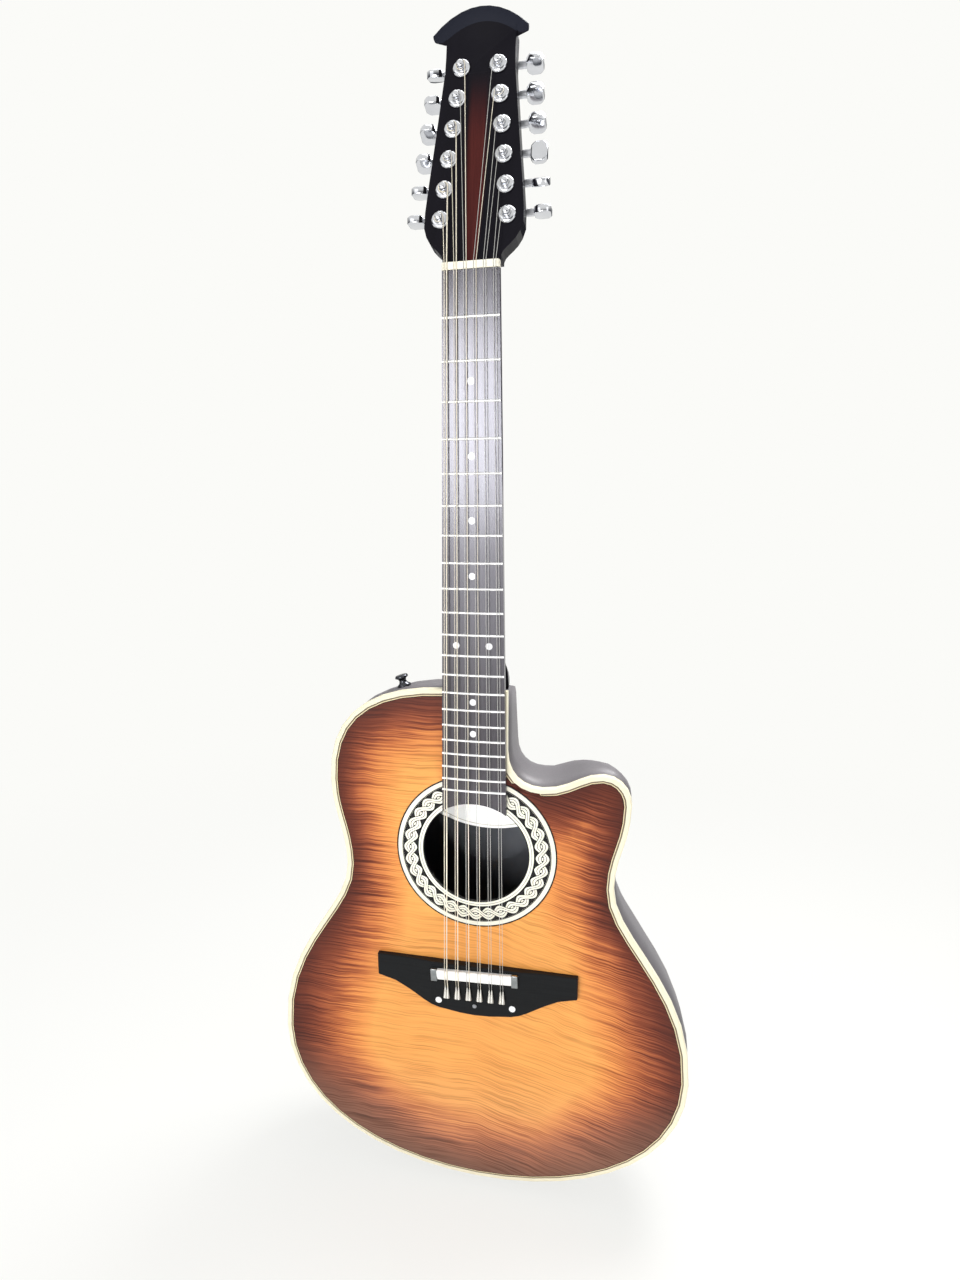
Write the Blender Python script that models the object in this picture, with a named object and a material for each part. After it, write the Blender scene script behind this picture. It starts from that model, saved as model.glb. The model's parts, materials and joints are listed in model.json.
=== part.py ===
# Twelve-string roundback guitar with a cutaway, built as separate sub-parts
# Units are metres, +Z runs up the neck, the soundboard faces -Y, the treble side is +X
import math

import bmesh
import bpy
from mathutils import Vector

# Fits and shared clearances
SEAT = 0.0003
BORE_CLEARANCE = 0.0003

# Scale and neck
SCALE_LENGTH = 0.64135
NUT_Z = 0.905
FRET_COUNT = 21
NUT_WIDTH = 0.0476
WIDTH_AT_TWELFTH = 0.057
FINGERBOARD_THICKNESS = 0.0072
FINGERBOARD_CROWN_RADIUS = 0.300
FINGERBOARD_END_RADIUS = 0.0530
FRET_WIDTH = 0.0022
FRET_HEIGHT = 0.0011
NUT_THICKNESS = 0.0060
NECK_DEPTH_AT_NUT = 0.0140
NECK_DEPTH_AT_HEEL = 0.0170
HEEL_DEPTH = 0.0780
HEEL_HALF_WIDTH_TOP = 0.0270
HEEL_HALF_WIDTH_CAP = 0.0165
HEEL_FLARE = 0.0030

# Soundboard outline, inside the binding
TAIL_Z = 0.0168
LOWER_HALF_WIDTH = 0.2048
LOWER_Z = 0.1645
WAIST_HALF_WIDTH = 0.1270
WAIST_Z = 0.3640
UPPER_HALF_WIDTH = 0.1402
UPPER_Z = 0.4540
SHOULDER_Z = 0.5465
HORN_SIDE_Z = 0.4485
HORN_TIP_X = 0.1185
HORN_TIP_Z = 0.4720
VALLEY_X = 0.0630
VALLEY_Z = 0.4547
CUTAWAY_SIDE_X = 0.0260
CUTAWAY_SIDE_Z = 0.4936

# Soundboard, binding and rosette
TOP_THICKNESS = 0.0030
BINDING_WIDTH = 0.0045
BINDING_HEIGHT = 0.0060
SOUNDHOLE_RADIUS = 0.0515
SOUNDHOLE_FROM_NUT = SCALE_LENGTH - 0.12535
ROSETTE_RADIUS = 0.0785
ROSETTE_THICKNESS = 0.0008

# Moulded bowl
BOWL_DEPTH_TAIL = 0.1500
BOWL_DEPTH_NECK = 0.1320
BOWL_WALL = 0.0030
BOWL_LEDGE = 0.0150
BOWL_ROUNDNESS = 2.75
BOWL_ROUNDNESS_AT_HORN = 2.1
BOWL_ROUNDNESS_AT_NECK = 2.2
SPINE_TOP_Z = 0.3970
SPINE_TAIL_Z = 0.1650

# Bridge and saddle
BRIDGE_FROM_NUT = SCALE_LENGTH - 0.00635
BRIDGE_HALF_LENGTH = 0.1010
BRIDGE_WING = 0.0240
BRIDGE_BELLY = 0.0550
BRIDGE_THICKNESS = 0.0085
BRIDGE_WING_THICKNESS = 0.0060
SADDLE_LENGTH = 0.0820
SADDLE_WIDTH = 0.0110
SADDLE_TOP = 0.0130
SADDLE_SLANT = 0.0036
SADDLE_SOCKET = 0.0040

# Headstock
HEAD_TILT = math.radians(14.0)
HEAD_THICKNESS = 0.0150
HEAD_FACE_Y = -0.0040
HEAD_LENGTH = 0.2000
HEAD_HALF_WIDTH_LOW = 0.0410
HEAD_HALF_WIDTH_TOP = 0.0285
CREST_RISE = 0.0080
CREST_HALF_WIDTH = 0.0390

# Tuning machines
POST_ROWS = 6
POST_FIRST = 0.0417
POST_PITCH = 0.0240
POST_X_LOW = 0.0276
POST_X_TOP = 0.0150
POST_RADIUS = 0.0030
POST_HEIGHT = 0.0085
BUSHING_RADIUS = 0.0042
WASHER_RADIUS = 0.0075
HOUSING_DEPTH = 0.0095
WORM_OFFSET = 0.0100
WORM_RADIUS = 0.0018
KNOB_LENGTH = 0.0138
KNOB_HEIGHT = 0.0186
KNOB_THICKNESS = 0.0074
KNOB_GAP = 0.0062
KNOB_REST_TURNS_TREBLE = (96.0, 120.0, 0.0, 70.0, 68.0, 75.0)
KNOB_REST_TURNS_BASS = (96.0, 99.0, 73.0, 72.0, 85.0, 109.0)

# Strings, bass side first, octave and main string of each course
STRING_DIAMETERS = (0.00069, 0.00119, 0.00046, 0.00099, 0.00030, 0.00076,
                    0.00020, 0.00058, 0.00036, 0.00036, 0.00025, 0.00025)
STRING_MIN_DIAMETER = 0.0005
STRING_SPREAD_NUT = 0.0405
STRING_SPREAD_SADDLE = 0.0560
PAIR_GAP_NUT = 0.0021
PAIR_GAP_SADDLE = 0.0025
STRING_OVER_NUT = 0.0088
STRING_ANCHOR_FROM_NUT = SCALE_LENGTH + 0.03465
STRING_WRAP_HEIGHT = 0.0058

# Strap buttons
BUTTON_RADIUS = 0.0068
BUTTON_HEIGHT = 0.0110
END_BUTTON_DEPTH = 0.0400
STRAP_BUTTON_X = -0.0740
STRAP_BUTTON_DEPTH = 0.0240

# Facets
RIM_STEPS = (11, 9, 6, 5, 5, 6, 3, 2, 9, 7, 9, 11)
BOWL_LEVELS = (0.0, 0.20, 0.38, 0.54, 0.68, 0.80, 0.89, 0.955, 0.993)
LINING_LEVELS = (0.0, 0.28, 0.52, 0.72, 0.87, 0.96)
ROUND_FINE = 56
ROUND_BUSHING = 14
ROUND_SMALL = 12
STRING_SIDES = 5
SMOOTH_ANGLE = math.radians(32.0)


def clear_scene():
    for item in list(bpy.data.objects):
        bpy.data.objects.remove(item, do_unlink=True)


def make_material(name, colour, metallic, roughness):
    material = bpy.data.materials.new(name)
    material.use_nodes = True
    shader = material.node_tree.nodes["Principled BSDF"]
    shader.inputs["Base Color"].default_value = (*colour, 1.0)
    shader.inputs["Metallic"].default_value = metallic
    shader.inputs["Roughness"].default_value = roughness
    return material


def make_materials():
    return {
        "bowl": make_material("bowl_composite", (0.035, 0.035, 0.038), 0.0, 0.55),
        "soundboard": make_material("figured_maple_top", (0.75, 0.30, 0.08), 0.0, 0.25),
        "binding": make_material("cream_binding", (0.85, 0.80, 0.65), 0.0, 0.35),
        "rosette": make_material("rosette_inlay", (0.80, 0.78, 0.70), 0.0, 0.35),
        "neck": make_material("neck_black_lacquer", (0.02, 0.018, 0.02), 0.0, 0.25),
        "fingerboard": make_material("fingerboard_ebony", (0.03, 0.02, 0.018), 0.0, 0.35),
        "bridge": make_material("bridge_ebony", (0.02, 0.018, 0.018), 0.0, 0.40),
        "bone": make_material("white_bone", (0.88, 0.86, 0.80), 0.0, 0.35),
        "chrome": make_material("polished_chrome", (0.80, 0.80, 0.82), 1.0, 0.12),
        "steel": make_material("string_steel", (0.70, 0.68, 0.62), 1.0, 0.25),
    }


def finish_object(name, bm, material, origin=None):
    bmesh.ops.recalc_face_normals(bm, faces=bm.faces[:])
    if bm.calc_volume(signed=True) < 0.0:
        bmesh.ops.reverse_faces(bm, faces=bm.faces[:])
    mesh = bpy.data.meshes.new(name)
    if origin is not None:
        bmesh.ops.translate(bm, verts=bm.verts[:], vec=-origin)
    bm.to_mesh(mesh)
    bm.free()
    mesh.materials.append(material)
    mesh.shade_smooth()
    mesh.set_sharp_from_angle(angle=SMOOTH_ANGLE)
    item = bpy.data.objects.new(name, mesh)
    if origin is not None:
        item.location = origin
    bpy.context.collection.objects.link(item)
    return item


def loft(bm, rings, closed=False):
    rows = [[bm.verts.new(point) for point in ring] for ring in rings]
    count = len(rows[0])
    pairs = list(zip(rows, rows[1:]))
    if closed:
        pairs.append((rows[-1], rows[0]))
    for low, high in pairs:
        for i in range(count):
            j = (i + 1) % count
            bm.faces.new((low[i], low[j], high[j], high[i]))
    if not closed:
        bm.faces.new(list(reversed(rows[0])))
        bm.faces.new(rows[-1])
    return bm


def revolve(bm, profile, steps, place, closed=False):
    rings = []
    for radius, along in profile:
        ring = []
        for i in range(steps):
            angle = 2.0 * math.pi * i / steps
            ring.append(place(radius * math.cos(angle), radius * math.sin(angle), along))
        rings.append(ring)
    return loft(bm, rings, closed)


def apply_boolean(item, tool, operation):
    modifier = item.modifiers.new("cut", "BOOLEAN")
    modifier.operation = operation
    modifier.solver = "EXACT"
    modifier.object = tool
    bpy.context.view_layer.update()
    graph = bpy.context.evaluated_depsgraph_get()
    shaped = bpy.data.meshes.new_from_object(item.evaluated_get(graph))
    item.modifiers.remove(modifier)
    item.data = shaped
    bpy.data.objects.remove(tool, do_unlink=True)
    item.data.shade_smooth()
    item.data.set_sharp_from_angle(angle=SMOOTH_ANGLE)
    return item


def from_nut(distance):
    return NUT_Z - distance


def fret_distance(number):
    return SCALE_LENGTH * (1.0 - 2.0 ** (-number / 12.0))


def neck_half_width(distance):
    growth = (WIDTH_AT_TWELFTH - NUT_WIDTH) / fret_distance(12)
    return (NUT_WIDTH + growth * distance) / 2.0


def bezier(start, first, second, end, steps):
    points = []
    for i in range(steps):
        t = i / steps
        s = 1.0 - t
        x = s ** 3 * start[0] + 3 * s * s * t * first[0] + 3 * s * t * t * second[0] + t ** 3 * end[0]
        z = s ** 3 * start[1] + 3 * s * s * t * first[1] + 3 * s * t * t * second[1] + t ** 3 * end[1]
        points.append((x, z))
    return points


# The outline runs from the tail up the treble side, round the cutaway and down the bass side
def body_outline(steps=RIM_STEPS):
    top_corner = (CUTAWAY_SIDE_X, SHOULDER_Z)
    bass_corner = (-CUTAWAY_SIDE_X, SHOULDER_Z)
    spans = [
        ((0.0, TAIL_Z), (0.115, TAIL_Z), (LOWER_HALF_WIDTH, LOWER_Z - 0.091),
         (LOWER_HALF_WIDTH, LOWER_Z)),
        ((LOWER_HALF_WIDTH, LOWER_Z), (LOWER_HALF_WIDTH, LOWER_Z + 0.104),
         (WAIST_HALF_WIDTH, WAIST_Z - 0.053), (WAIST_HALF_WIDTH, WAIST_Z)),
        ((WAIST_HALF_WIDTH, WAIST_Z), (WAIST_HALF_WIDTH, WAIST_Z + 0.037),
         (UPPER_HALF_WIDTH, HORN_SIDE_Z - 0.038), (UPPER_HALF_WIDTH, HORN_SIDE_Z)),
        ((UPPER_HALF_WIDTH, HORN_SIDE_Z), (UPPER_HALF_WIDTH, HORN_SIDE_Z + 0.011),
         (HORN_TIP_X + 0.014, HORN_TIP_Z), (HORN_TIP_X, HORN_TIP_Z)),
        ((HORN_TIP_X, HORN_TIP_Z), (HORN_TIP_X - 0.018, HORN_TIP_Z),
         (VALLEY_X + 0.025, VALLEY_Z), (VALLEY_X, VALLEY_Z)),
        ((VALLEY_X, VALLEY_Z), (VALLEY_X - 0.0216, VALLEY_Z),
         (CUTAWAY_SIDE_X, CUTAWAY_SIDE_Z - 0.0253), (CUTAWAY_SIDE_X, CUTAWAY_SIDE_Z)),
        ((CUTAWAY_SIDE_X, CUTAWAY_SIDE_Z), (CUTAWAY_SIDE_X, CUTAWAY_SIDE_Z + 0.017),
         (CUTAWAY_SIDE_X, SHOULDER_Z - 0.017), top_corner),
        (top_corner, (0.009, SHOULDER_Z), (-0.009, SHOULDER_Z), bass_corner),
        (bass_corner, (-CUTAWAY_SIDE_X - 0.0736, SHOULDER_Z),
         (-UPPER_HALF_WIDTH, UPPER_Z + 0.065), (-UPPER_HALF_WIDTH, UPPER_Z)),
        ((-UPPER_HALF_WIDTH, UPPER_Z), (-UPPER_HALF_WIDTH, UPPER_Z - 0.036),
         (-WAIST_HALF_WIDTH, WAIST_Z + 0.040), (-WAIST_HALF_WIDTH, WAIST_Z)),
        ((-WAIST_HALF_WIDTH, WAIST_Z), (-WAIST_HALF_WIDTH, WAIST_Z - 0.053),
         (-LOWER_HALF_WIDTH, LOWER_Z + 0.104), (-LOWER_HALF_WIDTH, LOWER_Z)),
        ((-LOWER_HALF_WIDTH, LOWER_Z), (-LOWER_HALF_WIDTH, LOWER_Z - 0.091),
         (-0.115, TAIL_Z), (0.0, TAIL_Z)),
    ]
    points = []
    for span, count in zip(spans, steps):
        points += bezier(*span, count)
    return points


def offset_outline(points, distance):
    moved = []
    count = len(points)
    for i in range(count):
        before = Vector(points[i]) - Vector(points[i - 1])
        after = Vector(points[(i + 1) % count]) - Vector(points[i])
        before.normalize()
        after.normalize()
        first = Vector((before.y, -before.x))
        second = Vector((after.y, -after.x))
        bisector = (first + second).normalized()
        reach = distance / max(0.5, bisector.dot(first))
        moved.append((points[i][0] + bisector.x * reach, points[i][1] + bisector.y * reach))
    return moved


def flat_ring(points, y):
    return [Vector((x, y, z)) for x, z in points]


def spine_z(z):
    middle = (SPINE_TOP_Z + SPINE_TAIL_Z) / 2.0
    half = (SPINE_TOP_Z - SPINE_TAIL_Z) / 2.0
    u = (z - middle) / half
    return middle + half * u / (1.0 + abs(u) ** 6) ** (1.0 / 6.0)


def bowl_depth(z):
    share = (spine_z(z) - SPINE_TAIL_Z) / (SPINE_TOP_Z - SPINE_TAIL_Z)
    return BOWL_DEPTH_TAIL + (BOWL_DEPTH_NECK - BOWL_DEPTH_TAIL) * share


def share_between(value, low, high):
    return min(1.0, max(0.0, (value - low) / (high - low)))


# The sides stand up full, and soften round the horn and beside the neck
def bowl_roundness(x, z):
    horn = share_between(x, VALLEY_X, HORN_TIP_X) * share_between(z, WAIST_Z, HORN_TIP_Z)
    corner = share_between(z, CUTAWAY_SIDE_Z, SHOULDER_Z) * share_between(x, 0.0, CUTAWAY_SIDE_X)
    return (BOWL_ROUNDNESS + (BOWL_ROUNDNESS_AT_HORN - BOWL_ROUNDNESS) * horn
            + (BOWL_ROUNDNESS_AT_NECK - BOWL_ROUNDNESS) * corner)


# Each ring draws in toward a spine as it goes deeper, which gives the rounded moulded back
def bowl_ring(points, level, rim_y, thinner):
    ring = []
    for x, z in points:
        roundness = bowl_roundness(x, z)
        shrink = (1.0 - level ** roundness) ** (1.0 / roundness)
        middle = spine_z(z)
        depth = bowl_depth(z) - thinner
        y = rim_y + (depth - rim_y) * level
        ring.append(Vector((x * shrink, y, middle + (z - middle) * shrink)))
    return ring


def bowl_solid(name, material, grow, top_y):
    rim = offset_outline(body_outline(), BINDING_WIDTH + grow)
    rings = [flat_ring(rim, top_y)]
    rings += [bowl_ring(rim, level, BINDING_HEIGHT + SEAT, -grow) for level in BOWL_LEVELS]
    return finish_object(name, loft(bmesh.new(), rings), material)


def make_bowl(materials):
    outline = body_outline()
    outer = offset_outline(outline, BINDING_WIDTH)
    lining = offset_outline(outline, BINDING_WIDTH - BOWL_WALL)
    step = offset_outline(outline, -SEAT)
    ledge = offset_outline(outline, BINDING_WIDTH - BOWL_LEDGE)
    rim_y = BINDING_HEIGHT + SEAT
    shelf_y = TOP_THICKNESS + SEAT
    rings = [bowl_ring(outer, level, rim_y, 0.0) for level in reversed(BOWL_LEVELS)]
    rings.append(flat_ring(step, rim_y))
    rings.append(flat_ring(step, shelf_y))
    rings.append(flat_ring(ledge, shelf_y))
    rings.append(flat_ring(ledge, rim_y))
    lining_y = rim_y + BOWL_WALL
    rings += [bowl_ring(lining, level, lining_y, BOWL_WALL) for level in LINING_LEVELS]
    return finish_object("bowl", loft(bmesh.new(), rings), materials["bowl"])


def make_binding(materials):
    outline = body_outline()
    outer = offset_outline(outline, BINDING_WIDTH)
    bevel = offset_outline(outline, BINDING_WIDTH - 0.0008)
    rings = [flat_ring(bevel, 0.0), flat_ring(outer, 0.0008), flat_ring(outer, BINDING_HEIGHT),
             flat_ring(outline, BINDING_HEIGHT), flat_ring(outline, 0.0)]
    return finish_object("binding", loft(bmesh.new(), rings, closed=True), materials["binding"])


def soundhole_place(x, z, y):
    return Vector((x, y, from_nut(SOUNDHOLE_FROM_NUT) + z))


def make_soundboard(materials):
    edge = offset_outline(body_outline(), -SEAT)
    board = finish_object("soundboard", loft(bmesh.new(), [flat_ring(edge, 0.0),
                          flat_ring(edge, TOP_THICKNESS)]), materials["soundboard"])
    recess = ROSETTE_RADIUS + SEAT
    floor_y = ROSETTE_THICKNESS + SEAT
    profile = [(recess, -0.002), (recess, floor_y), (SOUNDHOLE_RADIUS, floor_y),
               (SOUNDHOLE_RADIUS, TOP_THICKNESS + 0.002)]
    cutter = finish_object("soundhole_cutter", revolve(bmesh.new(), profile, ROUND_FINE,
                           soundhole_place), materials["soundboard"])
    return apply_boolean(board, cutter, "DIFFERENCE")


def make_rosette(materials):
    profile = [(SOUNDHOLE_RADIUS, 0.0), (ROSETTE_RADIUS, 0.0),
               (ROSETTE_RADIUS, ROSETTE_THICKNESS), (SOUNDHOLE_RADIUS, ROSETTE_THICKNESS)]
    bm = revolve(bmesh.new(), profile, ROUND_FINE, soundhole_place, closed=True)
    return finish_object("rosette", bm, materials["rosette"])


def crown_drop(x):
    return FINGERBOARD_CROWN_RADIUS - math.sqrt(FINGERBOARD_CROWN_RADIUS ** 2 - x * x)


def fingerboard_section(distance, extra):
    half = neck_half_width(distance)
    bottom = -SEAT
    top = -SEAT - FINGERBOARD_THICKNESS
    z = from_nut(distance)
    ring = [Vector((-half, bottom, z))]
    for share in (-1.0, -0.5, 0.0, 0.5, 1.0):
        x = half * share
        ring.append(Vector((x, top - extra + crown_drop(x), z)))
    ring.append(Vector((half, bottom, z)))
    return ring


def make_fingerboard(materials):
    rings = [fingerboard_section(0.0, 0.0)]
    for number in range(1, FRET_COUNT + 1):
        middle = fret_distance(number)
        rings.append(fingerboard_section(middle - FRET_WIDTH / 2, 0.0))
        rings.append(fingerboard_section(middle - FRET_WIDTH / 5, FRET_HEIGHT))
        rings.append(fingerboard_section(middle + FRET_WIDTH / 5, FRET_HEIGHT))
        rings.append(fingerboard_section(middle + FRET_WIDTH / 2, 0.0))
    rings.append(fingerboard_section(SOUNDHOLE_FROM_NUT - FINGERBOARD_END_RADIUS / 2, 0.0))
    board = finish_object("fingerboard", loft(bmesh.new(), rings), materials["fingerboard"])
    profile = [(FINGERBOARD_END_RADIUS, -0.020), (FINGERBOARD_END_RADIUS, 0.005)]
    cutter = finish_object("end_cutter", revolve(bmesh.new(), profile, ROUND_FINE,
                           soundhole_place), materials["fingerboard"])
    return apply_boolean(board, cutter, "DIFFERENCE")


# Points on the tilted headstock: x across, up from the nut along the face, out toward the front
def head_point(x, up, out):
    return Vector((x, HEAD_FACE_Y + up * math.sin(HEAD_TILT) - out * math.cos(HEAD_TILT),
                   NUT_Z + up * math.cos(HEAD_TILT) + out * math.sin(HEAD_TILT)))


def post_places():
    places = []
    for row in range(POST_ROWS):
        share = row / (POST_ROWS - 1)
        x = POST_X_LOW + (POST_X_TOP - POST_X_LOW) * share
        places.append((x, POST_FIRST + POST_PITCH * row))
    return places


def head_half_width(up):
    share = share_between(up, 0.045, 0.160)
    return HEAD_HALF_WIDTH_LOW + (HEAD_HALF_WIDTH_TOP - HEAD_HALF_WIDTH_LOW) * share


def head_outline():
    low = HEAD_HALF_WIDTH_LOW
    top = HEAD_HALF_WIDTH_TOP
    start = neck_half_width(0.0) + 0.0004
    side = [(start, 0.0070)]
    side += bezier((start, 0.0100), (start + 0.001, 0.0170), (low - 0.003, 0.0190), (low, 0.0360), 6)
    side += bezier((low, 0.0360), (low + 0.001, 0.0480), (low - 0.004, 0.0780), (top + 0.0015, 0.1480), 4)
    side += bezier((top + 0.0015, 0.1480), (top - 0.0005, 0.1600), (top, 0.1700), (top, HEAD_LENGTH - 0.0120), 3)
    side.append((top, HEAD_LENGTH - 0.0120))
    arch = bezier((top, HEAD_LENGTH - 0.0120), (top * 0.75, HEAD_LENGTH - 0.0020), (top * 0.4, HEAD_LENGTH),
                  (0.0, HEAD_LENGTH), 5)[1:]
    right = side + arch + [(0.0, HEAD_LENGTH)]
    left = [(-x, up) for x, up in reversed(right) if x > 0.0]
    return right + left


# The carved crest is a wedge that sweeps forward from the face and ends in two horns
def crest_rings():
    rings = []
    for share in (-1.06, -1.0, -0.82, -0.62, -0.4, -0.2, 0.0, 0.2, 0.4, 0.62, 0.82, 1.0, 1.06):
        flat = min(1.0, abs(share))
        inner = (share * 0.0300, HEAD_LENGTH - 0.0030 - 0.0125 * flat ** 2)
        outer = (share * CREST_HALF_WIDTH, HEAD_LENGTH + 0.0050 - 0.0175 * flat ** 2)
        back = -0.0125 + 0.0105 * flat ** 3
        rise = CREST_RISE * (1.0 - 0.25 * flat ** 4)
        section = [(inner[0], inner[1], -0.0020), (inner[0] * 0.99, inner[1] - 0.0015, back),
                   (outer[0] * 0.97, outer[1] - 0.0015, back), (outer[0], outer[1], rise - 0.0020),
                   (outer[0] * 0.985, outer[1] - 0.0012, rise)]
        if abs(share) > 1.0:
            middle = [sum(axis) / len(section) for axis in zip(*section)]
            section = [tuple(m + (p - m) * 0.45 for p, m in zip(point, middle)) for point in section]
        rings.append([head_point(*point) for point in section])
    return rings


def neck_section(distance, depth, top_y):
    half = neck_half_width(max(0.0, distance)) - 0.0002
    z = from_nut(distance)
    ring = [Vector((-half, top_y, z)), Vector((half, top_y, z))]
    for angle in (18.0, 42.0, 66.0, 90.0, 114.0, 138.0, 162.0):
        turn = math.radians(angle)
        y = max(top_y + 0.0005, depth * math.sin(turn) ** 0.8)
        ring.append(Vector((half * math.cos(turn), y, z)))
    return ring


def heel_section(share):
    depth = 0.010 + (HEEL_DEPTH - 0.010) * share
    half = HEEL_HALF_WIDTH_TOP + (HEEL_HALF_WIDTH_CAP - HEEL_HALF_WIDTH_TOP) * share ** 1.5
    nose = 0.3440 - 0.0580 * (1.0 - share) ** 3
    back = 0.3860
    wing = 0.3500
    flare = HEEL_FLARE * (1.0 - share)
    ring = [Vector((half, depth, from_nut(back)))]
    for angle in (0.0, 12.0, 26.0, 46.0, 68.0, 90.0, 112.0, 134.0, 154.0, 168.0, 180.0):
        turn = math.radians(angle)
        width = half + flare * math.cos(turn) ** 12
        ring.append(Vector((width * math.cos(turn), depth,
                            from_nut(wing - (wing - nose) * math.sin(turn)))))
    ring.append(Vector((-half, depth, from_nut(back))))
    return ring


def make_neck(materials):
    stations = [(-0.0180, 0.0130, 0.0020), (-0.0100, 0.0138, 0.0012), (-0.0062, NECK_DEPTH_AT_NUT, 0.0),
                (0.0, NECK_DEPTH_AT_NUT, 0.0)]
    for distance in (0.090, 0.190, 0.300, 0.3800):
        share = distance / 0.3800
        depth = NECK_DEPTH_AT_NUT + (NECK_DEPTH_AT_HEEL - NECK_DEPTH_AT_NUT) * share
        stations.append((distance, depth, 0.0))
    rings = [neck_section(*station) for station in stations]
    neck = finish_object("neck", loft(bmesh.new(), rings), materials["neck"])
    heel = finish_object("heel_tool", loft(bmesh.new(), [heel_section(share) for share in
                         (0.0, 0.12, 0.26, 0.45, 0.70, 1.0)]), materials["neck"])
    apply_boolean(neck, heel, "UNION")
    outline = head_outline()
    plate = finish_object("plate_tool", loft(bmesh.new(), [
        [head_point(x, up, 0.0) for x, up in outline],
        [head_point(x, up, -HEAD_THICKNESS) for x, up in outline]]), materials["neck"])
    apply_boolean(neck, plate, "UNION")
    crest = finish_object("crest_tool", loft(bmesh.new(), crest_rings()), materials["neck"])
    apply_boolean(neck, crest, "UNION")
    for side in (1.0, -1.0):
        for x, up in post_places():
            radius = BUSHING_RADIUS + BORE_CLEARANCE
            bore = revolve(bmesh.new(), [(radius, -HEAD_THICKNESS - 0.004), (radius, 0.004)],
                           ROUND_BUSHING, lambda a, b, c: head_point(side * x + a, up + b, c))
            tool = finish_object("bore_tool", bore, materials["neck"])
            apply_boolean(neck, tool, "DIFFERENCE")
    pocket = bowl_solid("bowl_pocket", materials["neck"], SEAT, -0.010)
    return apply_boolean(neck, pocket, "DIFFERENCE")


# Shares of each string across the neck, from bass to treble
def string_offsets(spread, pair_gap):
    places = []
    for course in range(6):
        middle = -spread / 2.0 + spread * course / 5.0
        places.append(middle - pair_gap / 2.0)
        places.append(middle + pair_gap / 2.0)
    return places


def string_radius(index):
    return max(STRING_DIAMETERS[index], STRING_MIN_DIAMETER) / 2.0


def make_nut(materials):
    half = neck_half_width(0.0) - 0.0002
    edge_y = -STRING_OVER_NUT
    profile = [(-half, -SEAT), (-half, edge_y + 0.0012), (-half + 0.0012, edge_y)]
    for index, x in enumerate(string_offsets(STRING_SPREAD_NUT, PAIR_GAP_NUT)):
        wide = string_radius(index) + 0.00012
        floor_y = -STRING_OVER_NUT + string_radius(index) + SEAT
        profile += [(x - wide, edge_y), (x - wide * 0.6, floor_y), (x + wide * 0.6, floor_y), (x + wide, edge_y)]
    profile += [(half - 0.0012, edge_y), (half, edge_y + 0.0012), (half, -SEAT)]
    low = NUT_Z + SEAT
    high = NUT_Z + NUT_THICKNESS
    rings = [[Vector((x, y, low)) for x, y in profile], [Vector((x, y, high)) for x, y in profile]]
    return finish_object("nut", loft(bmesh.new(), rings), materials["bone"])


def bridge_lower_edge(x):
    share = min(1.0, max(0.0, (BRIDGE_HALF_LENGTH - abs(x)) / (BRIDGE_HALF_LENGTH - 0.030)))
    ease = share ** 2 * (3.0 - 2.0 * share)
    crown = 0.0030 * max(0.0, 1.0 - (abs(x) / 0.030) ** 2)
    return BRIDGE_WING + (BRIDGE_BELLY - 0.0030 - BRIDGE_WING) * ease + crown


def bridge_height(x):
    share = min(1.0, max(0.0, (abs(x) - 0.046) / 0.018))
    return BRIDGE_THICKNESS + (BRIDGE_WING_THICKNESS - BRIDGE_THICKNESS) * share


def make_bridge(materials):
    rings = []
    bevel = 0.0009
    for x in (-1.0, -0.99, -0.82, -0.68, -0.60, -0.52, -0.44, -0.36, -0.28, -0.15, 0.0,
              0.15, 0.28, 0.36, 0.44, 0.52, 0.60, 0.68, 0.82, 0.99, 1.0):
        across = x * BRIDGE_HALF_LENGTH
        lower = bridge_lower_edge(across)
        height = bridge_height(across)
        if abs(x) == 1.0:
            height -= bevel
        top = BRIDGE_FROM_NUT
        section = [(top, -SEAT), (top, -SEAT - height + bevel), (top + bevel, -SEAT - height),
                   (top + lower - bevel, -SEAT - height), (top + lower, -SEAT - height + bevel),
                   (top + lower, -SEAT)]
        rings.append([Vector((across, y, from_nut(distance))) for distance, y in section])
    bridge = finish_object("bridge", loft(bmesh.new(), rings), materials["bridge"])
    slot = saddle_body("saddle_slot", materials["bridge"], SEAT, BRIDGE_THICKNESS - SADDLE_SOCKET,
                       0.020)
    return apply_boolean(bridge, slot, "DIFFERENCE")


def saddle_body(name, material, grow, low, high):
    half = SADDLE_LENGTH / 2.0 + grow
    front = SCALE_LENGTH - 0.0015
    rings = []
    for x in (-half, half):
        slant = -SADDLE_SLANT * x / SADDLE_LENGTH
        first = front + slant - grow
        last = front + slant + SADDLE_WIDTH + grow
        rings.append([Vector((x, -low, from_nut(first))), Vector((x, -high, from_nut(first))),
                      Vector((x, -high, from_nut(last))), Vector((x, -low, from_nut(last)))])
    return finish_object(name, loft(bmesh.new(), rings), material)


def make_saddle(materials):
    half = SADDLE_LENGTH / 2.0
    front = SCALE_LENGTH - 0.0015
    low = BRIDGE_THICKNESS - SADDLE_SOCKET + 2.0 * SEAT
    bevel = 0.0010
    rings = []
    for x in (-half, -half + bevel, half - bevel, half):
        slant = -SADDLE_SLANT * x / SADDLE_LENGTH
        high = SADDLE_TOP - (bevel if abs(x) == half else 0.0)
        first = front + slant
        section = [(first, low), (first, high - bevel), (first + bevel, high),
                   (first + 0.55 * SADDLE_WIDTH, high - 0.0003),
                   (first + SADDLE_WIDTH, high - 0.0022), (first + SADDLE_WIDTH, low)]
        rings.append([Vector((x, -y, from_nut(distance))) for distance, y in section])
    return finish_object("saddle", loft(bmesh.new(), rings), materials["bone"])


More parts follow.
